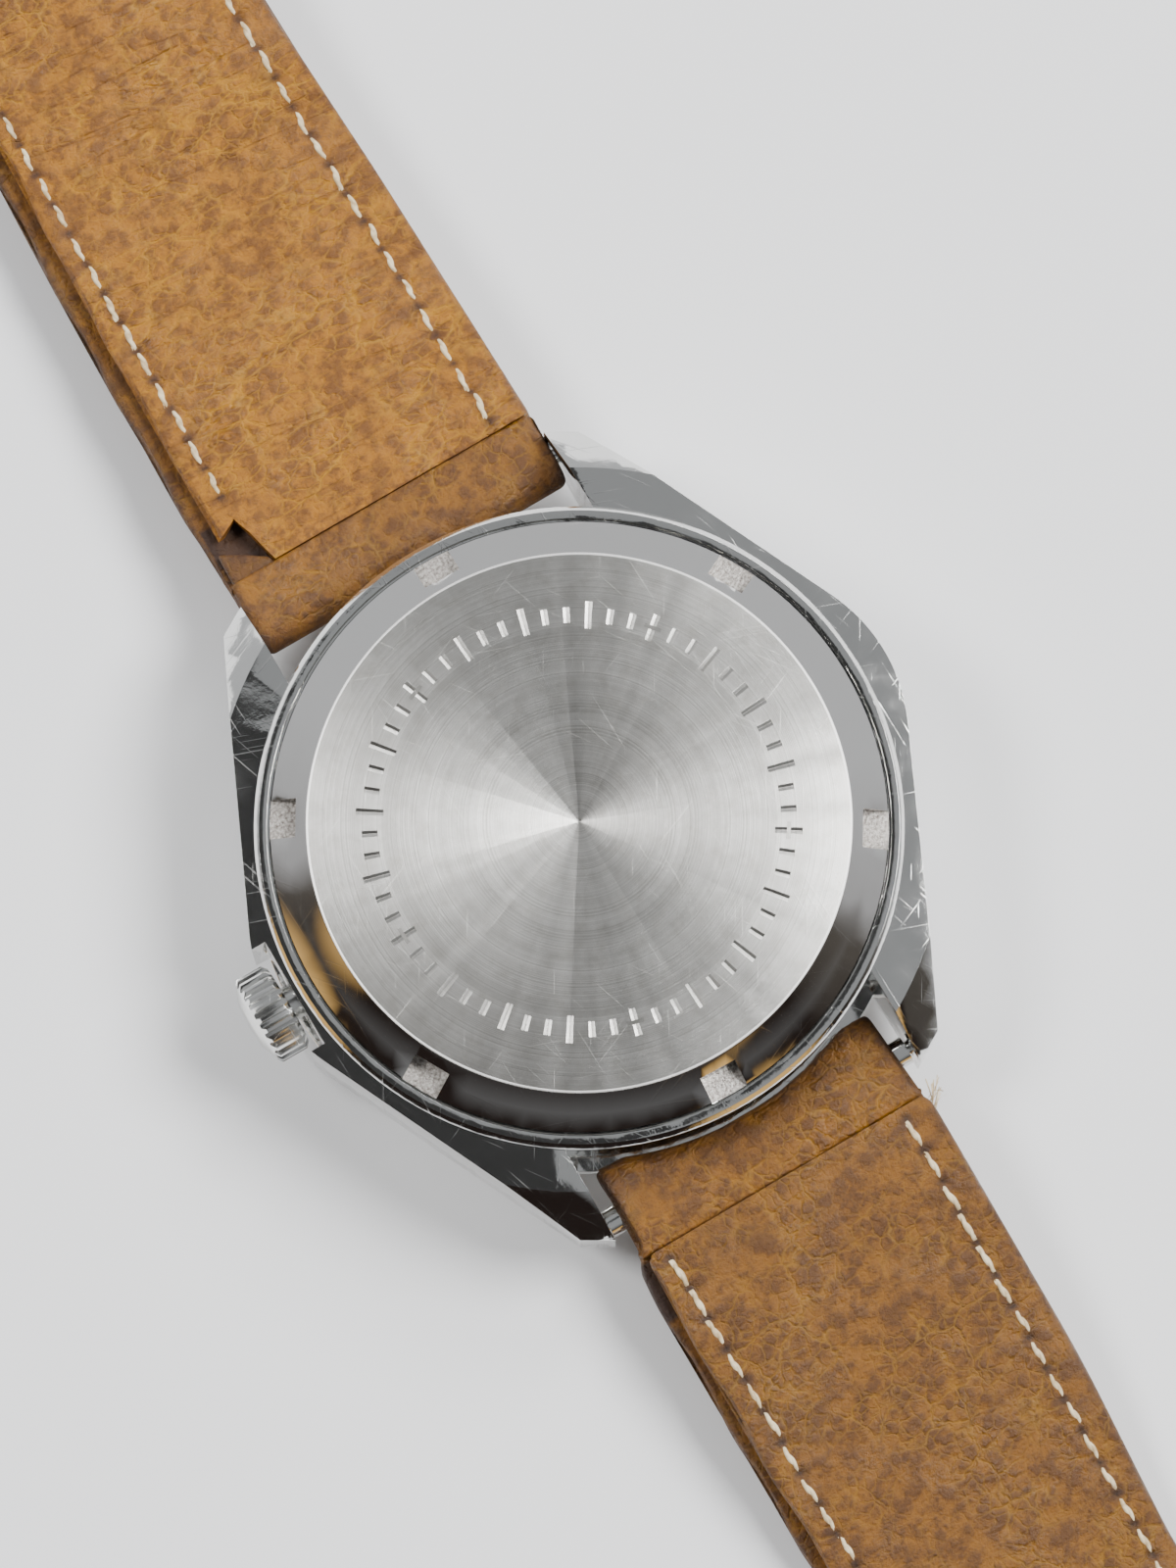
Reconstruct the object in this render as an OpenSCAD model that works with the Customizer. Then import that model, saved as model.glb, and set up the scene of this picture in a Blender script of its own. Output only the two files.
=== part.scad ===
// Vintage manual-wind wristwatch on a two-piece leather strap, lying face down.
// Origin: centre of the crystal's flat outer face. +Z runs up through the case
// back, +Y towards 12 o'clock and +X towards 9 o'clock, so the crown is at -X.
// All sizes are in millimetres.

/* [Case] */
// Half width of the case from its centre to 9 o'clock
case_half_w = 18; // [17.8:0.1:18.4]
// Angle between a case side and the 12-6 line
side_angle = 25; // [23:1:26]
// Radius that rounds the case at 3 and 9 o'clock
corner_r = 9; // [8:0.5:10]
// Gap between the lugs, which is also the nominal strap width
lug_gap = 18; // [18:0.1:18.4]
// Height of the case's dial side above the crystal's face
case_bottom_z = 2.4; // [2.4:0.1:2.6]
// Height of the flat back plane of the case
case_top_z = 8.6; // [8.5:0.1:8.7]
// Top of the collar round the case back
collar_top_z = 9.2; // [9.1:0.05:9.3]
// Outer radius of the collar
collar_r = 16.5; // [16.4:0.05:16.6]
// Radius of the case wall between the lugs
drum_r = 16.2; // [16:0.1:16.3]
// Radius at which the flat back plane ends on the lugs
back_plane_r = 18.6; // [18.4:0.1:18.8]

/* [Case back] */
// Radius of the raised flat disc
disc_r = 13.9; // [13.6:0.1:14.2]
// Outer radius of the screwed back
back_r = 15.7; // [15.6:0.05:15.7]
// Height of the flat disc, the highest face of the watch
disc_z = 10.5; // [10.3:0.05:10.6]
// Number of wrench slots in the bevel
slot_count = 6; // [3:1:8]
// Width of a wrench slot
slot_w = 2; // [1.5:0.1:2.5]
// Angle of the first wrench slot from +X
slot_phase = 28.5; // [0:0.5:59]

/* [Crown] */
// Radius of the crown over its flutes
crown_r = 2.4; // [2.2:0.1:2.5]
// Number of flutes on the crown
crown_flutes = 24; // [18:2:30]
// Length of the crown's fluted part
crown_len = 1.8; // [1.5:0.1:2]

/* [Movement] */
// Radius of the main plate
plate_r = 12.8; // [12.7:0.05:12.8]
// Distance from the centre arbor to the third arbor
third_dist = 4.5; // [4.45:0.05:4.55]
// Distance from the third arbor to the fourth arbor
fourth_dist = 4.2; // [4.15:0.05:4.25]
// Distance from the centre to the small seconds axis
seconds_offset = 6; // [5.9:0.05:6.1]
// Radius of the balance rim
balance_r = 3.5; // [3.2:0.1:3.6]

/* [Hands] */
// Minute at which the hands stand
shown_minute = 10; // [0:1:59]
// Hour at which the hands stand
shown_hour = 10; // [0:1:11]

/* [Strap] */
// Width of the strap between the lugs
strap_w = 17.6; // [17.4:0.1:17.8]
// Width of the strap at the buckle
strap_end_w = 16; // [15:0.5:16.5]
// Total thickness of the strap
strap_t = 2.2; // [2:0.1:2.4]
// Thickness of the outer leather
outer_t = 1.2; // [1:0.1:1.4]
// Length of the 12 o'clock strap between its two bars
buckle_strap_len = 72; // [68:1:80]
// Length of the 6 o'clock strap from its bar to its tip
hole_strap_len = 112; // [105:1:118]
// Number of holes in the 6 o'clock strap
hole_count = 7; // [5:1:8]
// Distance between strap holes
hole_pitch = 6; // [5:0.5:7]
// Radius of a strap hole
hole_r = 1; // [0.8:0.1:1.1]
// Angle by which the buckle hangs down from its bar to the table
buckle_droop = 13; // [11:1:14]

/* [Hidden] */
$fn = 64;
e = 0.01;
STEEL = [0.78, 0.78, 0.76];
BRASS = [0.80, 0.68, 0.40];
GILT = [0.88, 0.74, 0.45];
NICKEL = [0.74, 0.73, 0.70];
BLUED = [0.16, 0.22, 0.45];
RUBY = [0.75, 0.10, 0.25];
RUBBER = [0.12, 0.12, 0.12];
TAN = [0.70, 0.47, 0.24];
TAN_LINING = [0.74, 0.52, 0.30];
THREAD = [0.85, 0.77, 0.60];

// Case
bar_y = 17.85;
bar_z = 4.6;
lug_hole_r = 0.45;
lug_hole_depth = 0.9;
lug_tip_y = 18.9;
lug_tip_corner_y = 18;
lug_tip_r = 20.9;
lug_tip_top_z = 6.6;
flange_r = 17;
flange_top_z = 3.2;
crown_notch_x = 16.7;
crown_notch_half = 3;
stem_z = 5.8;
thread_r = 15;
recess_r = 15.85;
movement_bore_r = 14.25;
dial_lip_r = 13.5;
dial_z = 3;
thread_z = 7.5;
seat_z = 8.7;

// Wheel train: tooth counts, then the modules that the centre distances give
barrel_teeth = 64;
centre_teeth = 64;
third_teeth = 60;
fourth_teeth = 70;
leaves = 8;
escape_leaves = 7;
escape_teeth = 15;
barrel_m = 0.165;
escape_dist = 3.6;
centre_m = 2 * third_dist / (centre_teeth + leaves);
third_m = 2 * fourth_dist / (third_teeth + leaves);
fourth_m = 2 * escape_dist / (fourth_teeth + escape_leaves);
barrel_dist = barrel_m * (barrel_teeth + leaves) / 2;
barrel_angle = 120;

// Arbor positions, seen from the back
barrel_at = barrel_dist * [cos(barrel_angle), sin(barrel_angle)];
fourth_at = [0, -seconds_offset];
third_y = -(third_dist ^ 2 - fourth_dist ^ 2 + seconds_offset ^ 2) / (2 * seconds_offset);
third_at = [-sqrt(third_dist ^ 2 - third_y ^ 2), third_y];
escape_at = fourth_at + [escape_dist, 0];
balance_at = [7.6, -3.6];
pallet_at = escape_at + 2.6 * (balance_at - escape_at) / norm(balance_at - escape_at);

// Winding and setting work
ratchet_teeth = 40;
crown_wheel_teeth = 24;
pinion_teeth = 16;
winding_m = 0.21;
crown_wheel_at = [-7.3, 0];
cannon_teeth = 12;
minute_teeth = 36;
minute_leaves = 10;
hour_teeth = 40;
setting_teeth = 16;
motion_m = 0.12;
click_angle = 60;
click_arm = [5.25, 2.4];
click_at = barrel_at + [
    click_arm.x * cos(click_angle) - click_arm.y * sin(click_angle),
    click_arm.x * sin(click_angle) + click_arm.y * cos(click_angle)];
stem_groove_x = -11.2;
clutch_groove_x = -8.35;
lever_arm = 2.4;
lever_at = [stem_groove_x, lever_arm];
yoke_at = [clutch_groove_x, -lever_arm];
hour_m = motion_m * (cannon_teeth + minute_teeth) / (minute_leaves + hour_teeth);
minute_at = [-motion_m * (cannon_teeth + minute_teeth) / 2, 0];
setting_at = minute_at - [motion_m * (minute_teeth + setting_teeth) / 2, 0];

// Levels in the movement
plate_z = 4.3;
plate_top = 5.9;
barrel_z = 5;
barrel_top = 6.4;
bridge_z = 6.85;
bridge_top = 7.5;
train_bridge_z = 7.2;
train_bridge_top = 7.7;
cock_z = 7.75;
cock_top = 8.2;
winding_z = 7.55;
winding_top = 7.9;
jewel_h = 0.3;
jewel_r = 0.55;
arbor_r = 0.2;
pivot_r = 0.1;
screw_r = 0.3;

// Strap
tube_r = 0.75;
fold_r = 1.35;
fold_bore_r = 0.8;
fold_back_y = 20.3;
stitch_pitch = 1.8;
stitch_len = 1.2;
stitch_w = 0.4;
stitch_inset = 1.8;
stitch_start_y = 21.2;
taper_len = 56;
buckle_y = bar_y + buckle_strap_len;
strap_tip_y = bar_y + hole_strap_len;
first_hole_y = strap_tip_y - 22 - (hole_count - 1) * hole_pitch;
sag = 1.2;
sag_len = 42;
drop_len = 30;
keeper_t = 1;
keeper_half_w = 8.55;
keeper_len = 4;
fixed_keeper_y = 82;
free_keeper_y = 73;
window_len = 9;
frame_bar_w = 2.2;
tongue_w = 2;

// Clearances, and how far cutting shapes reach past what they cut
round_fn = 96;
fit_gap = 0.01;
far = 30;
under_low = 3;
under_high = 5;
over_low = 7;
over_high = 9;

// Crystal and bezel
crystal_r = 14.9;
crystal_t = 1.5;
crystal_edge = 0.5;
bezel_z = 0.45;
bezel_seat_r = 15.15;
bezel_in_r = 13.9;
bezel_top_r = 15.9;
bezel_land_z = 1.7;

// Stem, crown and the parts on them
stem_r = 0.44;
stem_bore_r = 0.47;
pilot_r = 0.25;
square_x = -9.2;
square_w = 0.6;
square_len = 2;
stem_out_x = -18.85;
stem_in_x = -5.6;
crown_base_x = -17.2;
tube_bore_r = 0.6;
tube_out_r = 0.95;
collet_r = 0.95;
lever_z = 3.75;
lever_top = 3.95;
lever_pin_r = 0.18;
stud_r = 0.22;
stud_bore_r = 0.24;

// Wheels and pinions
wheel_t = 0.15;
centre_z = 6.55;
third_z = 6.9;
fourth_z = 6.2;
escape_z = 6.5;
barrel_gear_z = 6.05;
barrel_r = 5;
barrel_wall = 0.25;
motion_z = 3.85;
motion_top = 4.05;
pinion_thin = 0.7;
winding_thin = 0.5;
pallet_z = 6.47;
pallet_bridge_z = 6.75;
pallet_bridge_top = 6.93;
pallet_foot = [7.2, -8.4];
balance_z = 6.98;
balance_top = 7.4;
balance_rim_w = 0.4;
hairspring_z = 7.5;
hairspring_r = 2.4;

// Screws, dial feet and jewels
rim_screw_r = 11.9;
barrel_screw_angles = [75, 150];
train_screw_angles = [-78, -108];
cock_screw_angle = 7;
dial_feet = [[8.5, 6], [-6, -9]];
dial_foot_r = 0.34;

// [x, y, top of the bridge] of each bridge screw
SCREWS = concat(
    [for (a = barrel_screw_angles) [rim_screw_r * cos(a), rim_screw_r * sin(a), bridge_top]],
    [for (a = train_screw_angles) [rim_screw_r * cos(a), rim_screw_r * sin(a), train_bridge_top]],
    [[rim_screw_r * cos(cock_screw_angle), rim_screw_r * sin(cock_screw_angle), cock_top]],
    [[pallet_foot.x, pallet_foot.y, pallet_bridge_top]]);

// Ring jewels: [plan position, lower height, upper height] of each
JEWELS = concat(
    [for (at = [third_at, fourth_at, escape_at, pallet_at, balance_at])
        [at, plate_top - jewel_h, plate_top]],
    [for (at = [third_at, fourth_at, escape_at]) [at, train_bridge_z, train_bridge_z + jewel_h]],
    [[pallet_at, pallet_bridge_z, pallet_bridge_top], [balance_at, cock_z, cock_z + jewel_h]]);

// Hands
hand_t = 0.14;
hour_hand_z = 2.46;
minute_hand_z = 2.06;
seconds_hand_z = 2.82;
hour_hand_len = 7.6;
minute_hand_len = 11.6;
seconds_hand_len = 2.7;
seconds_angle = 130;
marker_w = 0.6;
marker_h = 0.2;
marker_start_r = 9.6;
marker_end_r = 12.2;
short_marker_start_r = 10.4;

// Strap ends and buckle
taper_start = 1.5;
tip_len = 9;
tip_shoulder = [2.4, 3.2];
tip_half = 1.6;
stitch_h = 0.24;
frame_t = 2.2;
frame_corner_r = 3;
frame_near_y = -1.3;
tongue_t = 0.95;
tongue_z = -1.3;

// ---- shared shapes ----

// A disc or ring between two heights
module ring(r_out, z0, z1, r_in = 0) {
    difference() {
        translate([0, 0, z0]) cylinder(r = r_out, h = z1 - z0);
        if (r_in > 0)
            translate([0, 0, z0 - 1]) cylinder(r = r_in, h = z1 - z0 + 2);
    }
}

// A ring at a plan position
module ring_at(at, r_out, z0, z1, r_in = 0) {
    translate([at.x, at.y, 0]) ring(r_out, z0, z1, r_in);
}

// A rod between two heights at a plan position
module post(at, r, z0, z1) {
    translate([at.x, at.y, z0]) cylinder(r = r, h = z1 - z0);
}

// A rod along X between two X values
module x_rod(r, x0, x1, y = 0, z = 0) {
    translate([x0, y, z]) rotate([0, 90, 0]) cylinder(r = r, h = x1 - x0);
}

// A flat outline raised between two heights
module slab(z0, z1) {
    translate([0, 0, z0]) linear_extrude(z1 - z0) children();
}

// A sector of a ring, from angle a0 to a1
module sector(r_in, r_out, z0, z1, a0, a1) {
    translate([0, 0, z0]) rotate([0, 0, a0])
        rotate_extrude(angle = a1 - a0)
            translate([r_in, 0]) square([r_out - r_in, z1 - z0]);
}

// Outline of a gear with straight-sided teeth; thin < 1 leaves backlash
function gear_outline(teeth, m, thin = 0.8) =
    let (r = teeth * m / 2, half = 90 / teeth)
    [for (i = [0 : teeth - 1], s = [[-1.4, -1.2], [-0.45, 0.95], [0.45, 0.95], [1.4, -1.2]])
        let (a = 360 * i / teeth + half * thin * s[0], rr = r + m * s[1])
        rr * [cos(a), sin(a)]];

// A gear whose tooth, or gap, points along the angle "toward"
module gear(teeth, m, z0, z1, toward = 0, gap = false, thin = 0.8) {
    slab(z0, z1)
        rotate(toward + (gap ? 180 / teeth : 0))
            polygon(gear_outline(teeth, m, thin));
}

// Four round windows that lighten a wheel
module crossings(r_hub, r_rim, z0, z1) {
    window_r = (r_rim - r_hub) / 2;
    for (a = [45 : 90 : 315])
        rotate([0, 0, a])
            translate([(r_hub + r_rim) / 2, 0, z0 - 1]) cylinder(r = window_r, h = z1 - z0 + 2);
}

// Direction in degrees from one plan position to another
function heading(from, to) = atan2(to.y - from.y, to.x - from.x);

// An arbor with a thinner pivot at each end
module arbor(z_bottom = 5.6, z_top = 7.5, r = arbor_r) {
    ring(r, plate_top + 0.05, z_top - jewel_h - 0.05);
    ring(pivot_r, z_bottom, z_top);
}

// A slotted screw: head on z, shank down to z0
module screw(at, z, z0, head_r = 0.6, head_h = 0.25, shank_r = screw_r) {
    difference() {
        union() {
            post(at, head_r, z, z + head_h);
            post(at, shank_r, z0, z + e);
        }
        translate([at.x - head_r, at.y - 0.08, z + head_h - 0.12]) cube([2 * head_r, 0.16, 1]);
    }
}

// A thin spiral strip, from radius r0 to r1 over a number of turns
function spiral(r0, r1, turns, side, steps = 24) =
    [for (i = [0 : turns * steps])
        let (a = 360 * i / steps, r = r0 + (r1 - r0) * i / (turns * steps) + side)
        r * [cos(a), sin(a)]];
function reversed(list) = [for (i = [len(list) - 1 : -1 : 0]) list[i]];

// ---- case ----

// Plan outline of the case: straight sides that meet in an arc at 3 and 9
module case_outline() {
    arc_x = case_half_w - corner_r;
    t = [arc_x + corner_r * cos(side_angle), corner_r * sin(side_angle)];
    tip = [t.x - (lug_tip_corner_y - t.y) * tan(side_angle), lug_tip_corner_y];
    quarter = [t, tip, [lug_gap / 2, lug_tip_y]];
    polygon(concat(
        quarter,
        [for (p = reversed(quarter)) [-p.x, p.y]],
        [for (p = quarter) [-p.x, -p.y]],
        [for (p = reversed(quarter)) [p.x, -p.y]]));
    for (s = [-1, 1])
        translate([s * arc_x, 0]) circle(r = corner_r, $fn = round_fn);
}

// Turned limits of the case: flat back plane, then a cone over the lug tips
module case_envelope() {
    rotate_extrude($fn = round_fn)
        polygon([
            [0, case_bottom_z], [flange_r, case_bottom_z], [lug_tip_r + 1, case_bottom_z + 0.9],
            [lug_tip_r + 1, lug_tip_top_z - 1.5], [lug_tip_r, lug_tip_top_z],
            [back_plane_r, case_top_z], [0, case_top_z]]);
}

// The round middle of the case, with the dial-side flange and the collar
module case_drum() {
    rotate_extrude($fn = round_fn)
        polygon([
            [0, case_bottom_z], [flange_r - 0.3, case_bottom_z], [flange_r, case_bottom_z + 0.3],
            [flange_r, flange_top_z], [drum_r, flange_top_z], [drum_r, case_top_z],
            [collar_r, case_top_z], [collar_r, collar_top_z - 0.25],
            [collar_r - 0.25, collar_top_z], [0, collar_top_z]]);
}

// Bores of the case, stepped from the dial lip to the screw-back recess
module case_bores() {
    ring(dial_lip_r, case_bottom_z - 1, collar_top_z + 1);
    ring(movement_bore_r, dial_z, collar_top_z + 1);
    ring(thread_r, thread_z, collar_top_z + 1);
    ring(thread_r + 0.6, seat_z - 0.35, collar_top_z + 1);
    ring(recess_r, seat_z, collar_top_z + 1);
}

module case_body() {
    color(STEEL)
    difference() {
        union() {
            difference() {
                intersection() {
                    slab(case_bottom_z, case_top_z) case_outline();
                    case_envelope();
                }
                for (s = [-1, 1])
                    translate([-lug_gap / 2, s > 0 ? 10 : -far, 0]) cube([lug_gap, far - 10, far]);
            }
            case_drum();
        }
        case_bores();
        translate([-far, -crown_notch_half, 0])
            cube([far - crown_notch_x, 2 * crown_notch_half, far]);
        x_rod(0.97, -20, -10, z = stem_z);
        for (s = [-1, 1])
            x_rod(lug_hole_r, -lug_gap / 2 - lug_hole_depth, lug_gap / 2 + lug_hole_depth,
                y = s * bar_y, z = bar_z);
    }
}

module bezel_ring() {
    color(STEEL)
    rotate_extrude($fn = round_fn)
        polygon([
            [bezel_seat_r, bezel_z], [bezel_top_r, bezel_z], [flange_r, bezel_land_z],
            [flange_r, case_bottom_z], [bezel_in_r, case_bottom_z],
            [bezel_in_r, crystal_t], [bezel_seat_r, crystal_t]]);
}

module crystal() {
    color([0.8, 0.9, 0.95, 0.35])
    rotate_extrude($fn = round_fn)
        polygon([
            [0, 0], [crystal_r - crystal_edge, 0], [crystal_r, crystal_edge],
            [crystal_r, crystal_t], [0, crystal_t]]);
}

module crystal_gasket() {
    color([0.92, 0.92, 0.88]) ring(bezel_seat_r - 0.02, 0.6, crystal_t - 0.02, crystal_r + 0.02);
}

module case_back() {
    color(STEEL)
    difference() {
        rotate_extrude($fn = round_fn)
            polygon([
                [0, disc_z], [disc_r - 0.12, disc_z], [disc_r, disc_z - 0.1],
                [back_r - 0.05, 9.2], [back_r, 9.1], [back_r, seat_z + 0.05],
                [thread_r - 0.1, seat_z + 0.05], [thread_r - 0.1, thread_z + 0.1],
                [disc_r, thread_z + 0.1], [disc_r, 8.9], [0, 8.9]]);
        for (i = [0 : slot_count - 1])
            rotate([0, 0, slot_phase + 360 * i / slot_count])
                translate([disc_r + 0.45, -slot_w / 2, 9]) cube([3, slot_w, 3]);
        translate([0, 0, disc_z - 0.15]) cylinder(r = 0.15, h = 1);
    }
}

module case_back_gasket() {
    color(RUBBER) ring(thread_r + 0.58, seat_z - 0.33, seat_z + 0.03, thread_r - 0.05);
}

module crown_tube() {
    color(STEEL)
    difference() {
        x_rod(tube_out_r, -17.9, -14.5, z = stem_z);
        x_rod(tube_bore_r, -19, -13, z = stem_z);
    }
}

// ---- crown and keyless work ----

// The crown's fluted section
function flute_outline() =
    [for (i = [0 : crown_flutes - 1], s = [[-0.35, 0], [-0.2, -0.28], [0.2, -0.28], [0.35, 0]])
        let (a = 360 * (i + s[0]) / crown_flutes)
        (crown_r + s[1]) * [cos(a), sin(a)]];

module crown() {
    color(STEEL)
    translate([crown_base_x, 0, stem_z]) rotate([0, -90, 0])
        difference() {
            intersection() {
                slab(0, crown_len + 0.6) polygon(flute_outline());
                rotate_extrude()
                    polygon([
                        [0, 0], [crown_r - 0.3, 0], [crown_r + 0.1, 0.35],
                        [crown_r + 0.1, crown_len - 0.2], [crown_r - 0.35, crown_len + 0.1],
                        [1.2, crown_len + 0.42], [0, crown_len + 0.5]]);
            }
            translate([0, 0, -1]) cylinder(r = 1.3, h = 2.2);
            translate([0, 0, -1]) cylinder(r = 0.45, h = 2.7);
        }
}

module crown_gasket() {
    color(RUBBER)
    difference() {
        x_rod(1.28, -18.2, -17.95, z = stem_z);
        x_rod(0.5, -19, -17, z = stem_z);
    }
}

// Stem: round outside, square through the clutch, grooved for the setting lever
module winding_stem() {
    color(STEEL)
    difference() {
        union() {
            x_rod(stem_r, stem_out_x, square_x, z = stem_z);
            translate([square_x, -square_w / 2, stem_z - square_w / 2])
                cube([square_len, square_w, square_w]);
            x_rod(pilot_r, square_x + square_len, stem_in_x, z = stem_z);
        }
        difference() {
            x_rod(0.6, stem_groove_x - 0.25, stem_groove_x + 0.25, z = stem_z);
            x_rod(pilot_r, -13, -10, z = stem_z);
        }
    }
}

// Teeth on the end face of the winding pinion or the clutch
module face_teeth(x0, x1, phase) {
    for (i = [0 : 7])
        translate([x0, 0, stem_z]) rotate([phase + 45 * i, 0, 0])
            translate([0, 0.62, -0.1]) cube([x1 - x0, 0.3, 0.2]);
}

module winding_pinion() {
    color(STEEL)
    difference() {
        union() {
            translate([-10.3, 0, stem_z]) rotate([0, 90, 0])
                gear(pinion_teeth, winding_m, 0, 0.9, 180, true, pinion_thin);
            face_teeth(-9.45, -9.2, 0);
        }
        x_rod(stem_bore_r, -11, -8, z = stem_z);
    }
}

module clutch_wheel() {
    color(STEEL)
    difference() {
        union() {
            x_rod(collet_r, -9.1, -8.6, z = stem_z);
            x_rod(0.65, -8.7, -8, z = stem_z);
            x_rod(collet_r, -8.1, -7.8, z = stem_z);
            face_teeth(-9.3, -9.05, 22.5);
        }
        translate([-10, -0.33, stem_z - 0.33]) cube([3, 0.66, 0.66]);
    }
}

// Lever whose pin sits in the stem's groove
module setting_lever() {
    color(STEEL) {
        difference() {
            slab(lever_z, lever_top)
                translate(lever_at)
                    polygon([[-0.35, -2.75], [0.35, -2.75], [0.5, 0.2], [0.1, 0.6], [-0.25, 0.2]]);
            post(lever_at, stud_bore_r, under_low, under_high);
        }
        post([stem_groove_x, 0], lever_pin_r, lever_top, stem_z - 0.3);
    }
}

// Yoke whose tip sits in the clutch's groove
module yoke() {
    color(STEEL) {
        difference() {
            slab(lever_z, lever_top)
                translate(yoke_at)
                    polygon([[-0.35, 2.7], [0.35, 2.7], [0.45, 0], [0, -0.6], [-0.45, 0]]);
            post(yoke_at, stud_bore_r, under_low, under_high);
        }
        post([clutch_groove_x, 0], lever_pin_r, lever_top, stem_z - 0.7);
    }
}

module setting_wheel() {
    color(STEEL)
    difference() {
        translate([setting_at.x, setting_at.y, 0])
            gear(setting_teeth, motion_m, motion_z, motion_top, 0, true);
        post(setting_at, stud_bore_r, under_low, under_high);
    }
}

module crown_wheel() {
    color(STEEL)
    difference() {
        translate([crown_wheel_at.x, crown_wheel_at.y, 0])
            gear(crown_wheel_teeth, winding_m, winding_z, winding_top, 180, false, winding_thin);
        post(crown_wheel_at, 0.82, over_low, over_high);
    }
}

module crown_wheel_screw() {
    color(STEEL) {
        screw(crown_wheel_at, winding_top, 7, 1.3, 0.22, 0.35);
        ring_at(crown_wheel_at, 0.79, bridge_top, winding_top, 0.35);
    }
}

module ratchet_wheel() {
    color(STEEL)
    difference() {
        translate([barrel_at.x, barrel_at.y, 0])
            gear(ratchet_teeth, winding_m, winding_z, winding_top,
                heading(barrel_at, crown_wheel_at), true, winding_thin);
        post(barrel_at, 0.42, over_low, over_high);
    }
}

module ratchet_screw() {
    color(STEEL) screw(barrel_at, winding_top, 7, 1.2, 0.25, 0.38);
}

// Pawl that stops the ratchet wheel from running back
module click() {
    color(STEEL)
    difference() {
        translate([barrel_at.x, barrel_at.y, winding_z]) rotate([0, 0, click_angle])
            linear_extrude(winding_top - winding_z)
                polygon([
                    [4.3, 0], [4.75, -0.3], [5, 0.2], [5.9, 2], [5.7, 2.9],
                    [4.9, 2.9], [4.65, 2], [4.45, 0.35]]);
        post(click_at, 0.3, over_low, over_high);
    }
}

// ---- barrel and train ----

module mainspring_barrel() {
    color(BRASS)
    translate([barrel_at.x, barrel_at.y, 0])
        difference() {
            union() {
                ring(barrel_r, barrel_z, barrel_top);
                gear(barrel_teeth, barrel_m, barrel_gear_z, barrel_gear_z + 2 * wheel_t, barrel_angle + 180);
            }
            ring(barrel_r - barrel_wall, barrel_z + 0.2, barrel_top - 0.2);
            ring(0.62, barrel_z - 1, barrel_top + 1);
        }
}

module mainspring() {
    turns = 7;
    color(STEEL)
    translate([barrel_at.x, barrel_at.y, 0])
        slab(barrel_z + 0.3, barrel_top - 0.3)
            polygon(concat(
                spiral(1.5, 4.6, turns, -0.06),
                reversed(spiral(1.5, 4.6, turns, 0.06))));
}

module barrel_arbor() {
    color(STEEL)
    translate([barrel_at.x, barrel_at.y, 0])
        difference() {
            union() {
                ring(0.6, plate_z + 0.1, winding_z);
                ring(1.2, barrel_z + 0.25, barrel_top - 0.25);
            }
            ring(0.38, 6.9, winding_z + 1);
        }
}

// Arbor tube of the centre wheel, with the minute hand's friction seat below
module centre_wheel() {
    color(BRASS) {
        difference() {
            gear(centre_teeth, centre_m, centre_z, centre_z + wheel_t, heading([0, 0], third_at));
            crossings(0.95, 3.6, centre_z, centre_z + wheel_t);
        }
        gear(leaves, barrel_m, 5.98, 6.5, barrel_angle, true, pinion_thin);
        ring(0.28, 2.4, train_bridge_z + jewel_h);
        ring(0.6, 6.4, 6.75);
    }
}

module third_wheel() {
    color(BRASS)
    translate([third_at.x, third_at.y, 0]) {
        difference() {
            gear(third_teeth, third_m, third_z, third_z + wheel_t, heading(third_at, fourth_at));
            crossings(0.9, 3.2, third_z, third_z + wheel_t);
        }
        gear(leaves, centre_m, 6.48, 6.82, heading(third_at, [0, 0]), true, pinion_thin);
        ring(0.5, 6.8, 7.1);
        arbor();
    }
}

module fourth_wheel() {
    color(BRASS)
    translate([fourth_at.x, fourth_at.y, 0]) {
        difference() {
            gear(fourth_teeth, fourth_m, fourth_z, fourth_z + wheel_t, heading(fourth_at, escape_at));
            crossings(0.8, 2.9, fourth_z, fourth_z + wheel_t);
        }
        gear(leaves, third_m, 6.85, 7.1, heading(fourth_at, third_at), true, pinion_thin);
        ring(0.5, 6.1, 6.45);
        arbor(2.8);
    }
}

// Outline of the escape wheel's pointed club teeth
function escape_outline() =
    [for (i = [0 : escape_teeth - 1], p = [[0, 1.45], [5, 1.95], [9, 2], [8, 1.45]])
        let (a = 360 * i / escape_teeth + p[0])
        p[1] * [cos(a), sin(a)]];

module escape_wheel() {
    color(STEEL)
    translate([escape_at.x, escape_at.y, 0]) {
        difference() {
            slab(escape_z, escape_z + wheel_t) polygon(escape_outline());
            crossings(0.5, 1.25, escape_z, escape_z + wheel_t);
        }
        gear(escape_leaves, fourth_m, 6.12, 6.45, 180, true, pinion_thin);
        ring(0.4, 6.4, 6.7);
        arbor();
    }
}

// Anchor with two stones towards the escape wheel and a notch at the balance
module pallet_fork() {
    color(STEEL)
    translate([pallet_at.x, pallet_at.y, 0])
        rotate([0, 0, heading(pallet_at, balance_at)]) {
            slab(pallet_z, pallet_z + wheel_t)
                polygon([
                    [1.65, 0.28], [1.38, 0.12], [1.38, -0.12], [1.65, -0.28], [1.2, -0.25],
                    [0.2, -0.2], [-0.5, -1.65], [-1.22, -1.5], [-0.5, -0.3],
                    [-0.5, 0.3], [-1.22, 1.5], [-0.5, 1.65], [0.2, 0.2], [1.2, 0.25]]);
            ring(0.15, plate_top + 0.05, 6.7);
            ring(pivot_r, 5.6, 6.93);
        }
}

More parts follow.
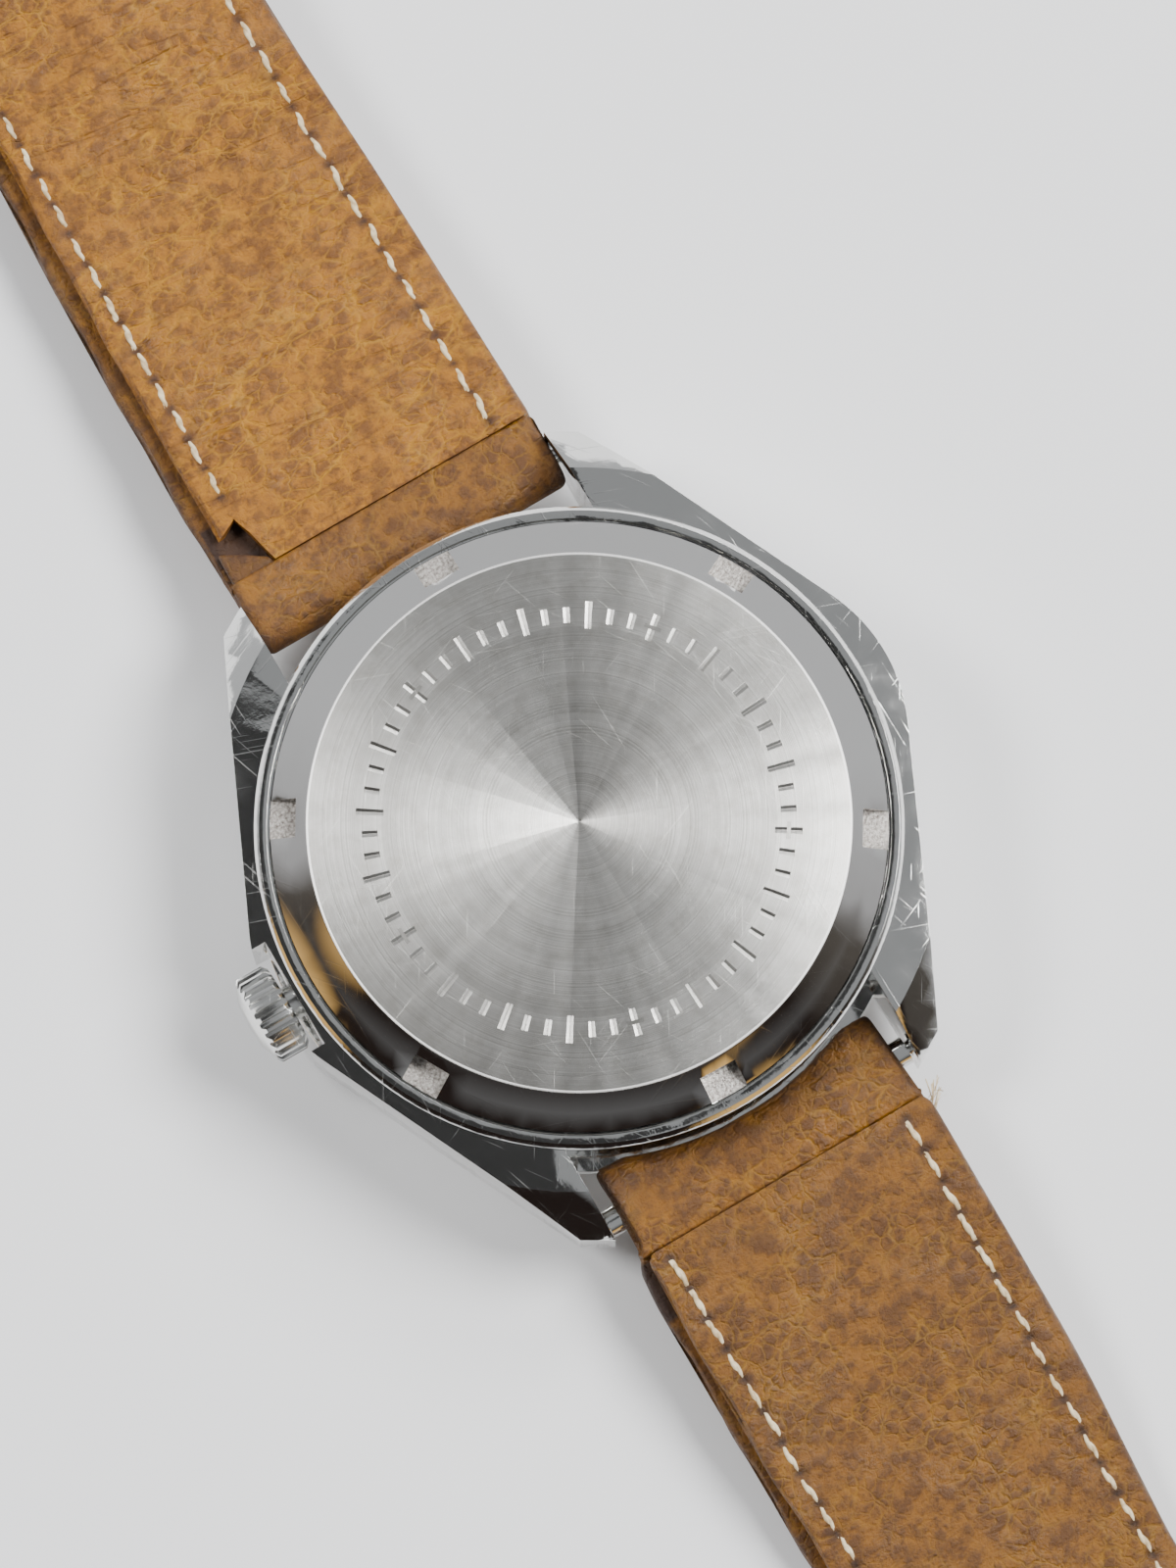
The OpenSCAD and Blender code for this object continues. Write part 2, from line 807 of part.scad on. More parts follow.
module pallet_bridge() {
    foot = pallet_foot;
    color(NICKEL)
    difference() {
        union() {
            slab(pallet_bridge_z, pallet_bridge_top) {
                translate(pallet_at) circle(r = 0.85);
                translate(foot) circle(r = 0.9);
                polygon([pallet_at + [-0.6, 0], pallet_at + [0.7, 0], foot + [0.8, 0], foot - [0.8, 0]]);
            }
            post(foot, 0.9, plate_top, 6.8);
        }
        post(pallet_at, jewel_r + fit_gap, 6, 7);
        post(foot, screw_r + fit_gap, 5, 8);
    }
}

// Rim, two arms, staff, and the roller that carries the impulse pin
module balance_wheel() {
    color(GILT)
    translate([balance_at.x, balance_at.y, 0])
        rotate([0, 0, heading(balance_at, pallet_at)]) {
            ring(balance_r, balance_z, balance_top, balance_r - balance_rim_w);
            translate([-balance_r + balance_rim_w / 2, -0.25, 7.1])
                cube([2 * balance_r - balance_rim_w, 0.5, wheel_t]);
            ring(0.25, plate_top + 0.05, cock_z - 0.05);
            ring(pivot_r, 5.6, cock_z + jewel_h);
            ring(0.75, 6.7, 6.85);
            post([0.55, 0], 0.09, 6.45, 6.72);
        }
}

module hairspring() {
    turns = 8;
    color(BLUED)
    translate([balance_at.x, balance_at.y, 0]) {
        slab(hairspring_z, hairspring_z + 0.12)
            polygon(concat(
                spiral(0.5, hairspring_r, turns, -0.03),
                reversed(spiral(0.5, hairspring_r, turns, 0.03))));
        post([2.42, 0], 0.15, 7.48, cock_z);
    }
}

// Index lever that shortens or lengthens the hairspring
module regulator() {
    color(STEEL)
    translate([balance_at.x, balance_at.y, 0])
        rotate([0, 0, 150])
            difference() {
                slab(cock_top, cock_top + 0.15) {
                    circle(r = 1.1);
                    polygon([[0, -0.4], [3.2, -0.12], [3.2, 0.12], [0, 0.4]]);
                }
                ring(0.6, 8, 9);
            }
}

// ---- plates and bridges ----

module screw_holes() {
    for (s = SCREWS)
        post([s.x, s.y], screw_r + fit_gap, under_high, over_high);
}

module bridge_screws() {
    color(BLUED)
    for (s = SCREWS)
        screw([s.x, s.y], s[2], under_high);
}

module main_plate() {
    color(NICKEL)
    difference() {
        union() {
            ring(plate_r, plate_z, plate_top);
            ring(plate_r, 3.4, plate_z + e, plate_r - 0.8);
            post(minute_at, 0.2, 3.5, plate_z + e);
            post(setting_at, 0.2, 3.6, plate_z + e);
            post(lever_at, stud_r, 3.6, plate_z + e);
            post(yoke_at, stud_r, 3.6, plate_z + e);
        }
        post(barrel_at, 5.2, barrel_z - 0.1, 9);
        post(barrel_at, 0.62, 4, 9);
        post([0, 0], 0.3, 4, 9);
        for (at = [third_at, fourth_at, escape_at, pallet_at, balance_at])
            post(at, jewel_r + fit_gap, plate_top - jewel_h, 9);
        post(fourth_at, 0.13, 3, 9);
        for (at = dial_feet)
            post(at, dial_foot_r + 0.02, under_low, under_high + 0.2);
        translate([-15, -2.05, plate_z - 1]) cube([15 - 9.2, 4.1, 3]);
        translate([-15, -1.15, plate_z - 1]) cube([15 - 7.25, 2.3, 3]);
        x_rod(0.27, -8, -5.5, z = stem_z);
        screw_holes();
    }
}

module barrel_bridge() {
    color(NICKEL)
    difference() {
        union() {
            intersection() {
                ring(plate_r - 0.1, bridge_z, bridge_top);
                slab(bridge_z - 1, bridge_top + 1)
                    polygon([
                        [7, 1], [7, 13], [-13, 13], [-13, 2.3],
                        [-8.45, 2.3], [-8.45, 0], [-6.15, 0], [-6.15, 1]]);
            }
            post(crown_wheel_at, 1.15, bridge_z, bridge_top);
            post(click_at, 0.28, bridge_top - e, winding_top);
            sector(11.5, plate_r - 0.1, plate_top, bridge_z + e, 62, 160);
        }
        post(barrel_at, 0.62, 6, 9);
        post(crown_wheel_at, 0.36, 6, 9);
        screw_holes();
    }
}

module train_bridge() {
    color(NICKEL)
    difference() {
        union() {
            intersection() {
                ring(plate_r - 0.1, train_bridge_z, train_bridge_top);
                slab(train_bridge_z - 1, train_bridge_top + 1)
                    polygon([
                        [0.9, 0.5], [-0.9, 0.5], [-4.2, -2.3], [-4.6, -4.2], [-7.5, -11],
                        [5.5, -11.6], [4.4, -7.5], [4.3, -5.6], [2.2, -2.6]]);
            }
            sector(10.6, plate_r - 0.1, plate_top, train_bridge_z + e, -115, -68);
        }
        post([0, 0], 0.3, 7, 9);
        for (at = [third_at, fourth_at, escape_at])
            post(at, jewel_r + fit_gap, 7, 9);
        screw_holes();
    }
}

module balance_cock() {
    foot = rim_screw_r * [cos(cock_screw_angle), sin(cock_screw_angle)];
    color(NICKEL)
    difference() {
        union() {
            slab(cock_z, cock_top) {
                translate(balance_at) circle(r = 1.2);
                translate(foot) circle(r = 0.8);
                polygon([
                    balance_at + [-1.1, 0.4], foot + [-0.8, 0], foot + [0.8, 0], balance_at + [1.2, 0]]);
            }
            post(foot, 0.8, plate_top, cock_z + e);
        }
        post(balance_at, jewel_r + fit_gap, 7, 9);
        screw_holes();
    }
}

module jewels() {
    color(RUBY)
    for (j = JEWELS)
        ring_at(j[0], jewel_r, j[1], j[2], pivot_r + 0.03);
}

module movement_ring() {
    color(BRASS)
    difference() {
        ring(movement_bore_r - 0.1, dial_z + 0.45, thread_z + 0.05, plate_r + 0.05);
        x_rod(1.1, -20, -10, z = stem_z);
    }
}

// ---- motion work, dial and hands ----

module minute_wheel() {
    color(BRASS)
    difference() {
        translate([minute_at.x, minute_at.y, 0]) {
            gear(minute_teeth, motion_m, motion_z, motion_top, 0, true);
            gear(minute_leaves, hour_m, 3.52, 3.86, 0, true, pinion_thin);
        }
        post(minute_at, stud_r, under_low, under_high);
    }
}

module cannon_pinion() {
    color(STEEL)
    difference() {
        union() {
            ring(0.5, 2.02, 4.2);
            gear(cannon_teeth, motion_m, 3.83, 4.15, 180, false, pinion_thin);
        }
        ring(0.3, 1, 5);
    }
}

module hour_wheel() {
    color(BRASS)
    difference() {
        union() {
            gear(hour_teeth, hour_m, 3.56, 3.72, 180);
            ring(0.85, 2.42, 3.74);
        }
        ring(0.54, 1, 5);
    }
}

module dial() {
    color([0.93, 0.91, 0.85])
    difference() {
        union() {
            ring(movement_bore_r - 0.25, dial_z, dial_z + 0.4);
            for (at = dial_feet)
                post(at, dial_foot_r, dial_z + 0.3, under_high);
        }
        ring(1, 1, 5);
        translate([fourth_at.x, fourth_at.y, 0]) ring(0.3, 1, 5);
        translate([fourth_at.x, fourth_at.y, 0]) ring(3.3, dial_z - 1, dial_z + 0.08);
    }
}

// Applied hour bars; the one at 6 o'clock is short, outside the small seconds
module hour_markers() {
    color(GILT)
    for (hour = [1 : 12])
        rotate([0, 0, 30 * hour])
            let (start = hour == 6 ? short_marker_start_r : marker_start_r)
                translate([-marker_w / 2, start, dial_z - marker_h])
                    cube([marker_w, marker_end_r - start, marker_h]);
}

// A tapered hand that points along +Y before it is turned
module hand(length, w, hub_r, bore_r, z0, z1) {
    difference() {
        slab(z0, z1) {
            circle(r = hub_r);
            polygon([
                [-w / 2, -0.2 * length], [-w, 0.3 * length], [-0.1, length],
                [0.1, length], [w, 0.3 * length], [w / 2, -0.2 * length]]);
        }
        ring(bore_r, z0 - 1, z1 + 1);
    }
}

module hour_hand() {
    color(BLUED)
    rotate([0, 0, 30 * (shown_hour + shown_minute / 60)])
        hand(hour_hand_len, 0.5, 1.15, 0.85, hour_hand_z, hour_hand_z + hand_t);
}

module minute_hand() {
    color(BLUED)
    rotate([0, 0, 6 * shown_minute])
        hand(minute_hand_len, 0.42, 0.85, 0.5, minute_hand_z, minute_hand_z + hand_t);
}

module seconds_hand() {
    color(BLUED)
    translate([fourth_at.x, fourth_at.y, 0])
        rotate([0, 0, seconds_angle])
            hand(seconds_hand_len, 0.16, 0.28, pivot_r, seconds_hand_z, seconds_hand_z + 0.11);
}

// ---- spring bars and straps ----

// Sprung bar: a tube with a shoulder and a thin tip at each end
module spring_bar(y, z) {
    color(STEEL) {
        x_rod(tube_r, -lug_gap / 2 + 0.15, lug_gap / 2 - 0.15, y, z);
        x_rod(lug_hole_r - 0.03, -lug_gap / 2 - 0.8, lug_gap / 2 + 0.8, y, z);
    }
}
module spring_bar_12() { spring_bar(bar_y, bar_z); }
module spring_bar_6() { spring_bar(-bar_y, bar_z); }

// Smooth step from 0 at t = 0 to 1 at t = 1
function smooth(t) = let (u = max(0, min(1, t))) u * u * (3 - 2 * u);

// Middle of the strap's thickness: the 12 side sags between two raised ends,
// and the 6 side comes down to lie on the table
function buckle_strap_z(y) = bar_z - sag * pow(sin(180 * max(0, min(1, (y - bar_y) / sag_len))), 2);
function hole_strap_z(y) = bar_z - (bar_z - strap_t / 2) * smooth((y - bar_y) / drop_len);
function strap_z(y, to_table) = to_table ? hole_strap_z(y) : buckle_strap_z(y);

// Side view of a strap layer, between two distances from its middle line
module layer_profile(y0, y1, low, high, to_table, step = 2) {
    ys = concat([for (y = [y0 : step : y1 - step / 2]) y], [y1]);
    polygon(concat(
        [for (y = ys) [y, strap_z(y, to_table) + low]],
        [for (y = reversed(ys)) [y, strap_z(y, to_table) + high]]));
}

// Plan view of a strap: tapered, then parallel, with a pointed tip if it has one
module strap_plan(y_end, tip) {
    a = strap_w / 2;
    b = strap_end_w / 2;
    shoulder = y_end - (tip ? tip_len : 0);
    half = [[a, 10], [a, bar_y + taper_start], [b, bar_y + taper_len], [b, shoulder]];
    end = tip ? [[b - tip_shoulder.x, y_end - tip_shoulder.y], [tip_half, y_end]] : [];
    right = concat(half, end);
    polygon(concat(right, [for (p = reversed(right)) [-p.x, p.y]]));
}

// One strap layer: side view across, cut to the plan
module strap_layer(y0, y1, low, high, to_table, y_end, tip) {
    intersection() {
        rotate([90, 0, 90]) translate([0, 0, -15])
            linear_extrude(30) layer_profile(y0, y1, low, high, to_table);
        slab(-5, 15) strap_plan(y_end, tip);
    }
}

// The dial-side leather, folded round the spring bar and back on the lining
module strap_outer(to_table, y_end, tip) {
    difference() {
        union() {
            x_rod(fold_r, -strap_w / 2, strap_w / 2, bar_y, bar_z);
            strap_layer(bar_y, y_end, -strap_t / 2, outer_t - strap_t / 2, to_table, y_end, tip);
            strap_layer(bar_y, fold_back_y, outer_t - strap_t / 2 - e, strap_t / 2, to_table, y_end, tip);
        }
        x_rod(fold_bore_r, -15, 15, bar_y, bar_z);
    }
}

// The skin-side leather
module strap_lining(to_table, y_end, tip) {
    strap_layer(fold_back_y + 0.05, y_end, outer_t - strap_t / 2, strap_t / 2, to_table, y_end, tip);
}

// Half width of the strap at a distance along it
function strap_half(y) =
    let (t = max(0, min(1, (y - bar_y - taper_start) / (taper_len - taper_start))))
    (strap_w - (strap_w - strap_end_w) * t) / 2;

// Two rows of stitches on the skin side and two on the dial side
module stitching(to_table, y_last) {
    for (y = [stitch_start_y : stitch_pitch : y_last], s = [-1, 1], side = [-1, 1])
        translate([
            s * (strap_half(y) - stitch_inset) - stitch_w / 2, y,
            strap_z(y + stitch_len / 2, to_table) + side * (strap_t / 2) - stitch_h / 2])
            cube([stitch_w, stitch_len, stitch_h]);
}

// Loop round the buckle bar, with a slot for the tongue
module buckle_loop() {
    x_rod(fold_r, -strap_end_w / 2, strap_end_w / 2, buckle_y, bar_z);
}

module tongue_slot() {
    translate([-tongue_w / 2 - 0.3, buckle_y - 4, bar_z - 5]) cube([tongue_w + 0.6, 8, 10]);
    x_rod(fold_bore_r, -15, 15, buckle_y, bar_z);
}

module strap_12_outer() {
    color(TAN)
    difference() {
        union() {
            strap_outer(false, buckle_y, false);
            buckle_loop();
        }
        tongue_slot();
    }
}

module strap_12_lining() {
    color(TAN_LINING)
    difference() {
        strap_lining(false, buckle_y - fold_r - 0.1, false);
        tongue_slot();
    }
}

module strap_12_stitching() {
    color(THREAD) stitching(false, fixed_keeper_y - 2);
}

module strap_holes() {
    for (i = [0 : hole_count - 1])
        post([0, first_hole_y + i * hole_pitch], hole_r, -5, 10);
}

module strap_6_outer() {
    color(TAN)
    mirror([0, 1, 0])
        difference() {
            strap_outer(true, strap_tip_y, true);
            strap_holes();
        }
}

module strap_6_lining() {
    color(TAN_LINING)
    mirror([0, 1, 0])
        difference() {
            strap_lining(true, strap_tip_y, true);
            strap_holes();
        }
}

module strap_6_stitching() {
    color(THREAD)
    mirror([0, 1, 0])
        intersection() {
            stitching(true, strap_tip_y - 11);
            translate([-20, 0, 0]) cube([40, 200, 20]);
        }
}

// ---- buckle and keepers ----

// Places a part in the plane of the hanging buckle, with its bar as the origin
module at_buckle() {
    translate([0, buckle_y, bar_z]) rotate([-buckle_droop, 0, 0]) children();
}

// Closed loop with two ears that hold the buckle bar
module buckle_frame() {
    half_in = strap_end_w / 2 + 0.35;
    half_out = half_in + frame_bar_w;
    near = frame_near_y;
    end = window_len + 2 + frame_bar_w;
    color(STEEL)
    at_buckle()
        difference() {
            slab(-frame_t / 2, frame_t / 2)
                difference() {
                    union() {
                        translate([-half_out, near]) square([2 * half_out, end - near - frame_corner_r]);
                        translate([-half_out + frame_corner_r, near])
                            square([2 * (half_out - frame_corner_r), end - near]);
                        for (s = [-1, 1])
                            translate([s * (half_out - frame_corner_r), end - frame_corner_r])
                                circle(r = frame_corner_r);
                    }
                    translate([-half_in, near - 1]) square([2 * half_in, window_len + 3 - near]);
                }
            x_rod(0.42, -half_out + 0.8, half_out - 0.8);
            translate([-tongue_w / 2 - 0.15, window_len, -2]) cube([tongue_w + 0.3, 6, 1.75]);
        }
}

module buckle_bar() {
    color(STEEL)
    at_buckle() {
        x_rod(tube_r, -strap_end_w / 2 - 0.2, strap_end_w / 2 + 0.2);
        x_rod(0.4, -strap_end_w / 2 - 1.5, strap_end_w / 2 + 1.5);
    }
}

// Pin that goes through a strap hole; its tip rests in the frame's notch
module buckle_tongue() {
    tip_y = window_len + 2 + frame_bar_w + 0.3;
    color(STEEL)
    at_buckle()
        difference() {
            union() {
                x_rod(-tongue_z, -tongue_w / 2, tongue_w / 2);
                translate([-tongue_w / 2, 0, tongue_z]) cube([tongue_w, tip_y - 1, tongue_t]);
                translate([0, tip_y - 1, tongue_z]) cylinder(r = tongue_w / 2, h = tongue_t);
            }
            x_rod(fold_bore_r, -5, 5);
        }
}

// Leather loop round both straps, from y0 along the strap
module keeper(y0) {
    z0 = 0;
    z1 = bar_z + strap_t / 2 + 0.15 + keeper_t;
    translate([0, y0 + keeper_len, 0]) rotate([90, 0, 0])
        linear_extrude(keeper_len)
            difference() {
                translate([-keeper_half_w - keeper_t, z0]) square([2 * (keeper_half_w + keeper_t), z1]);
                translate([-keeper_half_w, z0 + keeper_t]) square([2 * keeper_half_w, z1 - 2 * keeper_t]);
            }
}
module fixed_keeper() { color(TAN) keeper(fixed_keeper_y); }
module free_keeper() { color(TAN) keeper(free_keeper_y); }

case_body();
bezel_ring();
crystal();
crystal_gasket();
case_back();
case_back_gasket();
crown_tube();
movement_ring();
main_plate();
barrel_bridge();
train_bridge();
balance_cock();
pallet_bridge();
mainspring_barrel();
mainspring();
barrel_arbor();
ratchet_wheel();
ratchet_screw();
crown_wheel();
crown_wheel_screw();
click();
centre_wheel();
third_wheel();
fourth_wheel();
escape_wheel();
pallet_fork();
balance_wheel();
hairspring();
regulator();
winding_stem();
crown();
crown_gasket();
winding_pinion();
clutch_wheel();
setting_lever();
yoke();
setting_wheel();
minute_wheel();
cannon_pinion();
hour_wheel();
dial();
hour_markers();
hour_hand();
minute_hand();
seconds_hand();
jewels();
bridge_screws();
spring_bar_12();
spring_bar_6();
strap_12_outer();
strap_12_lining();
strap_12_stitching();
strap_6_outer();
strap_6_lining();
strap_6_stitching();
buckle_frame();
buckle_tongue();
buckle_bar();
fixed_keeper();
free_keeper();
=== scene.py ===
"""Looks of the wristwatch: leather, thread, steel and the lights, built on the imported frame."""

import math

import bpy
import numpy as np
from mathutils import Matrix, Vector, noise


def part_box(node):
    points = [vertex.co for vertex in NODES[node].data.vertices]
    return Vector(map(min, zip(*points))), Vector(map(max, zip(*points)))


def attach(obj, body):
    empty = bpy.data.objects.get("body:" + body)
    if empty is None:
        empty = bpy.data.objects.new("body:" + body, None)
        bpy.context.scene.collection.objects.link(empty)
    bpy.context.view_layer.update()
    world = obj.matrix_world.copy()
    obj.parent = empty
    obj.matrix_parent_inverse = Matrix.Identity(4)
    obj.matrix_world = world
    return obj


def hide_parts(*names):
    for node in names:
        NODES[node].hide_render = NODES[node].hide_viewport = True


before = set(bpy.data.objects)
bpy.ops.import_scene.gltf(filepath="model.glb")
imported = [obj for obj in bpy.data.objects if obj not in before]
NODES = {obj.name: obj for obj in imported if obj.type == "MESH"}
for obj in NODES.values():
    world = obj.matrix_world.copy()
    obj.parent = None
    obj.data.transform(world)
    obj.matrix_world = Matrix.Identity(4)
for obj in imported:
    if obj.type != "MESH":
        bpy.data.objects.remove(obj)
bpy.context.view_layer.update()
MM = 0.001
PER_METRE = 1000

# ---- places and sizes, in millimetres, from the frame ----


def box_mm(node):
    """Lowest and highest corner of a CAD node in millimetres."""
    low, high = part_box(node)
    return np.array(low) / MM, np.array(high) / MM


BAR_LOW, BAR_HIGH = box_mm("spring_bar_12")
BAR_Y = (BAR_LOW[1] + BAR_HIGH[1]) / 2
BAR_Z = (BAR_LOW[2] + BAR_HIGH[2]) / 2
STRAP_W = 17.6
STRAP_END_W = 16.0
STRAP_T = 2.2
OUTER_T = 1.2
TAPER_LEN = 56.0
TAPER_START = 1.5
BUCKLE_Y = BAR_Y + 72.0
TIP_Y = BAR_Y + 112.0
TIP_LEN, TIP_SHOULDER, TIP_SHOULDER_IN, TIP_HALF = 9, 3.2, 2.4, 1.6
FOLD_R = 1.35
FOLD_BACK_Y = 20.3
SAG, SAG_LEN, DROP_LEN = 1.2, 42.0, 30.0
LAYER_GAP = 0.05
KEEPER_T, KEEPER_CORNER, KEEPER_ROUND = 1.0, 1.5, 0.28
HOLE_R, HOLE_PITCH, HOLE_COUNT = 1.0, 6.0, 7
LAST_HOLE_IN = 22
FIRST_HOLE_Y = TIP_Y - LAST_HOLE_IN - (HOLE_COUNT - 1) * HOLE_PITCH
SLOT_HALF, SLOT_REACH = 1.3, 4

WELD_MM = 0.002

# Soft leather: how it flares at the fold, spreads past the lugs and reaches for the case
FLARE, FLARE_LEN = 0.14, 4
COLLAR_R, FOLD_REACH_12, FOLD_REACH_6, FOLD_REACH_LEN = 16.5, 0.25, 1.25, 1.6
LUG_TIP_Y, SPREAD_12, SPREAD_6, SPREAD_START, SPREAD_LEN = 18.9, 0.30, 0.65, 0.5, 1.6
SPREAD_END_Y, SPREAD_FADE_LEN = 48, 14
OUTER_ROLL_12, OUTER_ROLL_6, LINING_ROLL = 0.45, 0.30, 0.35
LINING_IN_12, LINING_IN_6 = (0.95, 0.12), (0.55, 0.12)
MESH_PITCH, COARSE_PITCH, COARSE_FROM_Y, SIDE_PITCH = 0.26, 0.7, 56, 0.5

# The torn corner of the 12 o'clock lining, and the folded leather that shows in it
TEAR = [
    (-9.4, 19.8), (-6.1, 20.2), (-6.3, 20.9), (-6.6, 22.2),
    (-6.95, 23.25), (-7.8, 22.8), (-8.7, 22.5), (-9.4, 22.6)]
TEAR_X, TEAR_TOP_Y = (-8.75, -6.0), 23.6
FOLD_CORNER = [(-8.68, 20.2), (-6.25, 20.2), (-6.35, 20.62), (-7.4, 21.35), (-8.62, 22.05)]
CORNER_DARK, CORNER_EDGE = 0.55, 0.18

# Stitches of two-ply thread
STITCH_PITCH, STITCH_LEN, STITCH_INSET, STITCH_START = 1.8, 1.38, 1.8, 21.2
STITCH_END_12, STITCH_END_6 = BAR_Y + 62, TIP_Y - 11
TORN_STITCHES_Y = 23.4
AWL_LEN, AWL_WIDTH, AWL_DEPTH = 0.27, 0.30, 0.16
PLY_R, PLY_TURN_R, PLY_SIDES, PLY_STEPS = 0.125, 0.062, 7, 13
STITCH_SINK, STITCH_ARCH, PLY_TURNS = 0.26, 0.20, 0.9

# Loose fibres at the edge of the 6 o'clock strap
FIBRE_COUNT, FIBRE_R, FIBRE_SIDES, FIBRE_STEPS = 14, 0.035, 5, 9
FIBRE_AT = (8.55, -21.0, 4.6)

# The case back: its turned disc with a painted highlight ring at its edge, and the ring of engraved strokes
DISC_R, BACK_R = 13.9, 15.7
SLOT_FLOOR_BELOW_Z = 9.05
RIM_IN, RIM_HALF_W = 0.14, 0.06
MARK_R, MARK_COUNT = 10.6, 60
MARK_HALF_LEN, LONG_MARK_EXTRA, LONG_MARK_EVERY = 0.40, 0.30, 3.0
CROSS_EVERY, CROSS_HALF_W, CROSS_HALF_LEN = 12.0, 0.10, 0.4

# The line of sight over the table, as an angle from +Y towards +X
VIEW_TURN = math.radians(30.5)
VIEW_ELEVATION = math.radians(81)
VIEW_UP = np.array([math.sin(VIEW_TURN), math.cos(VIEW_TURN), 0])
VIEW_RIGHT = np.array([math.cos(VIEW_TURN), -math.sin(VIEW_TURN), 0])
AIM = (1.47, 1.62, 9.0)
CAMERA_DISTANCE, LENS, SENSOR_W = 400.0, 181.0, 36
NEAREST_M, FARTHEST_M = 0.01, 20

# The room: directions are (right, up, height) in the camera's picture
ROOM_DARK = (-0.10, -0.95, 0.10)
ROOM_LAMPS = ((0.64, -0.80, 0.10), (-0.93, -0.38, 0.10))
ROOM_SHADES = (
    (0.30, (0.62, 0.63, 0.65)), (0.52, (0.46, 0.46, 0.47)),
    (0.60, (0.10, 0.09, 0.08)), (0.75, (0.022, 0.016, 0.014)))
CEILING = (0.34, 0.35, 0.36)
CEILING_HEIGHTS = (0.35, 0.75)
WARM_LIGHT = (0.95, 0.58, 0.20)
LAMP_EDGE = (0.955, 0.99)
TABLE_HALF_M = 3.0
CARD_Z = 430.0
CARD_OUTLINE = ((-420, -420), (60, -420), (22, 10), (-30, 95), (-420, 120))

# Colours
STEEL_TINT = (0.80, 0.80, 0.78)
BEVEL_TINT = (0.80, 0.79, 0.77)
# The last colour on the next line is painted highlight: the bright ring at the edge of the case back's disc.
RING_DARK, RING_LIGHT, PAINTED_RIM_HIGHLIGHT = (0.34, 0.33, 0.305), (0.80, 0.79, 0.76), (0.96, 0.95, 0.93)
WORN_PATCH, ENGRAVED = (0.36, 0.34, 0.30), (0.20, 0.19, 0.17)
SLOT_DARK, SLOT_LIGHT = (0.12, 0.10, 0.09), (0.42, 0.40, 0.37)
LEATHER_GOLD = (0.44, 0.195, 0.050)
LEATHER_CELL = (0.190, 0.085, 0.032)
LEATHER_DEEP = (0.115, 0.045, 0.015)
LEATHER_LINE = (0.64, 0.40, 0.19)
# The next brown is what darkened leather turns to: its edges, and painted shade in the awl holes and the
# tear.
EDGE_AND_SHADE_BROWN = (0.050, 0.019, 0.008)
LEATHER_SATURATION = 1.32
THREAD_DIRTY, THREAD_CREAM, THREAD_FIBRE = (0.42, 0.29, 0.14), (0.75, 0.62, 0.40), (0.80, 0.72, 0.52)
TABLE_COOL, TABLE_WARM = (0.80, 0.805, 0.82), (0.86, 0.86, 0.865)

# Scratches: direction in radians and how much each family is stretched
SCRATCH_FAMILIES = ((0.35, 0.02), (0.95, 0.035), (1.55, 0.02), (2.1, 0.04), (2.75, 0.025), (1.25, 0.03))


def smooth(t):
    """Smooth step from 0 to 1."""
    t = np.clip(t, 0, 1)
    return t * t * (3 - 2 * t)


# ---- node helpers ----


def add(tree, kind, inputs=None, **props):
    """Adds a node; an input is either a value or another node's output socket."""
    node = tree.nodes.new(kind)
    for key, value in props.items():
        setattr(node, key, value)
    for key, value in (inputs or {}).items():
        if isinstance(value, bpy.types.NodeSocket):
            tree.links.new(value, node.inputs[key])
        else:
            node.inputs[key].default_value = value
    return node


def new_material(name, **principled):
    """A material and its tree, with the Principled shader's sockets set to plain values."""
    mat = bpy.data.materials.new(name)
    mat.use_nodes = True
    tree = mat.node_tree
    bsdf = tree.nodes["Principled BSDF"]
    for key, value in principled.items():
        bsdf.inputs[key.replace("_", " ").title().replace("Ior", "IOR")].default_value = value
    return mat, tree, bsdf


def mm_coords(tree, stretch=(1, 1, 1), turn=0.0):
    """Object coordinates in millimetres, turned about Z and then stretched."""
    coord = add(tree, "ShaderNodeTexCoord").outputs["Object"]
    if turn:
        coord = add(tree, "ShaderNodeMapping", {"Vector": coord, "Rotation": (0, 0, turn)}).outputs["Vector"]
    scale = [PER_METRE * s for s in stretch]
    return add(tree, "ShaderNodeMapping", {"Vector": coord, "Scale": scale}).outputs["Vector"]


def math_node(tree, op, a, b=0.0):
    """A sum on one or two values."""
    return add(tree, "ShaderNodeMath", {0: a, 1: b}, operation=op).outputs[0]


def noise_node(tree, vector, scale, detail=4.0, rough=0.55, distort=0.0):
    """Noise from 0 to 1; scale is in cells per unit of the vector."""
    return add(tree, "ShaderNodeTexNoise",
               {"Vector": vector, "Scale": scale, "Detail": detail, "Roughness": rough,
                "Distortion": distort}).outputs["Fac"]


def ramp(tree, fac, *stops):
    """A colour ramp; each stop is (position, colour or grey)."""
    node = add(tree, "ShaderNodeValToRGB", {"Fac": fac})
    while len(node.color_ramp.elements) < len(stops):
        node.color_ramp.elements.new(0.5)
    for element, (pos, colour) in zip(node.color_ramp.elements, stops):
        element.position = pos
        element.color = (colour,) * 3 + (1,) if isinstance(colour, (int, float)) else tuple(colour) + (1,)
    return node.outputs["Color"]


def mix(tree, fac, a, b):
    """A blend from colour a to colour b."""
    node = add(tree, "ShaderNodeMix", data_type="RGBA")
    for socket, value in ((node.inputs[0], fac), (node.inputs[6], a), (node.inputs[7], b)):
        if isinstance(value, bpy.types.NodeSocket):
            tree.links.new(value, socket)
        elif isinstance(value, tuple):
            socket.default_value = value + (1,)
        else:
            socket.default_value = value
    return node.outputs[2]


def map_range(tree, value, low, high, to_low, to_high):
    """Maps low to high onto to_low to to_high, and holds still outside them."""
    return add(tree, "ShaderNodeMapRange", {"Value": value, "From Min": low, "From Max": high,
                                            "To Min": to_low, "To Max": to_high}).outputs["Result"]


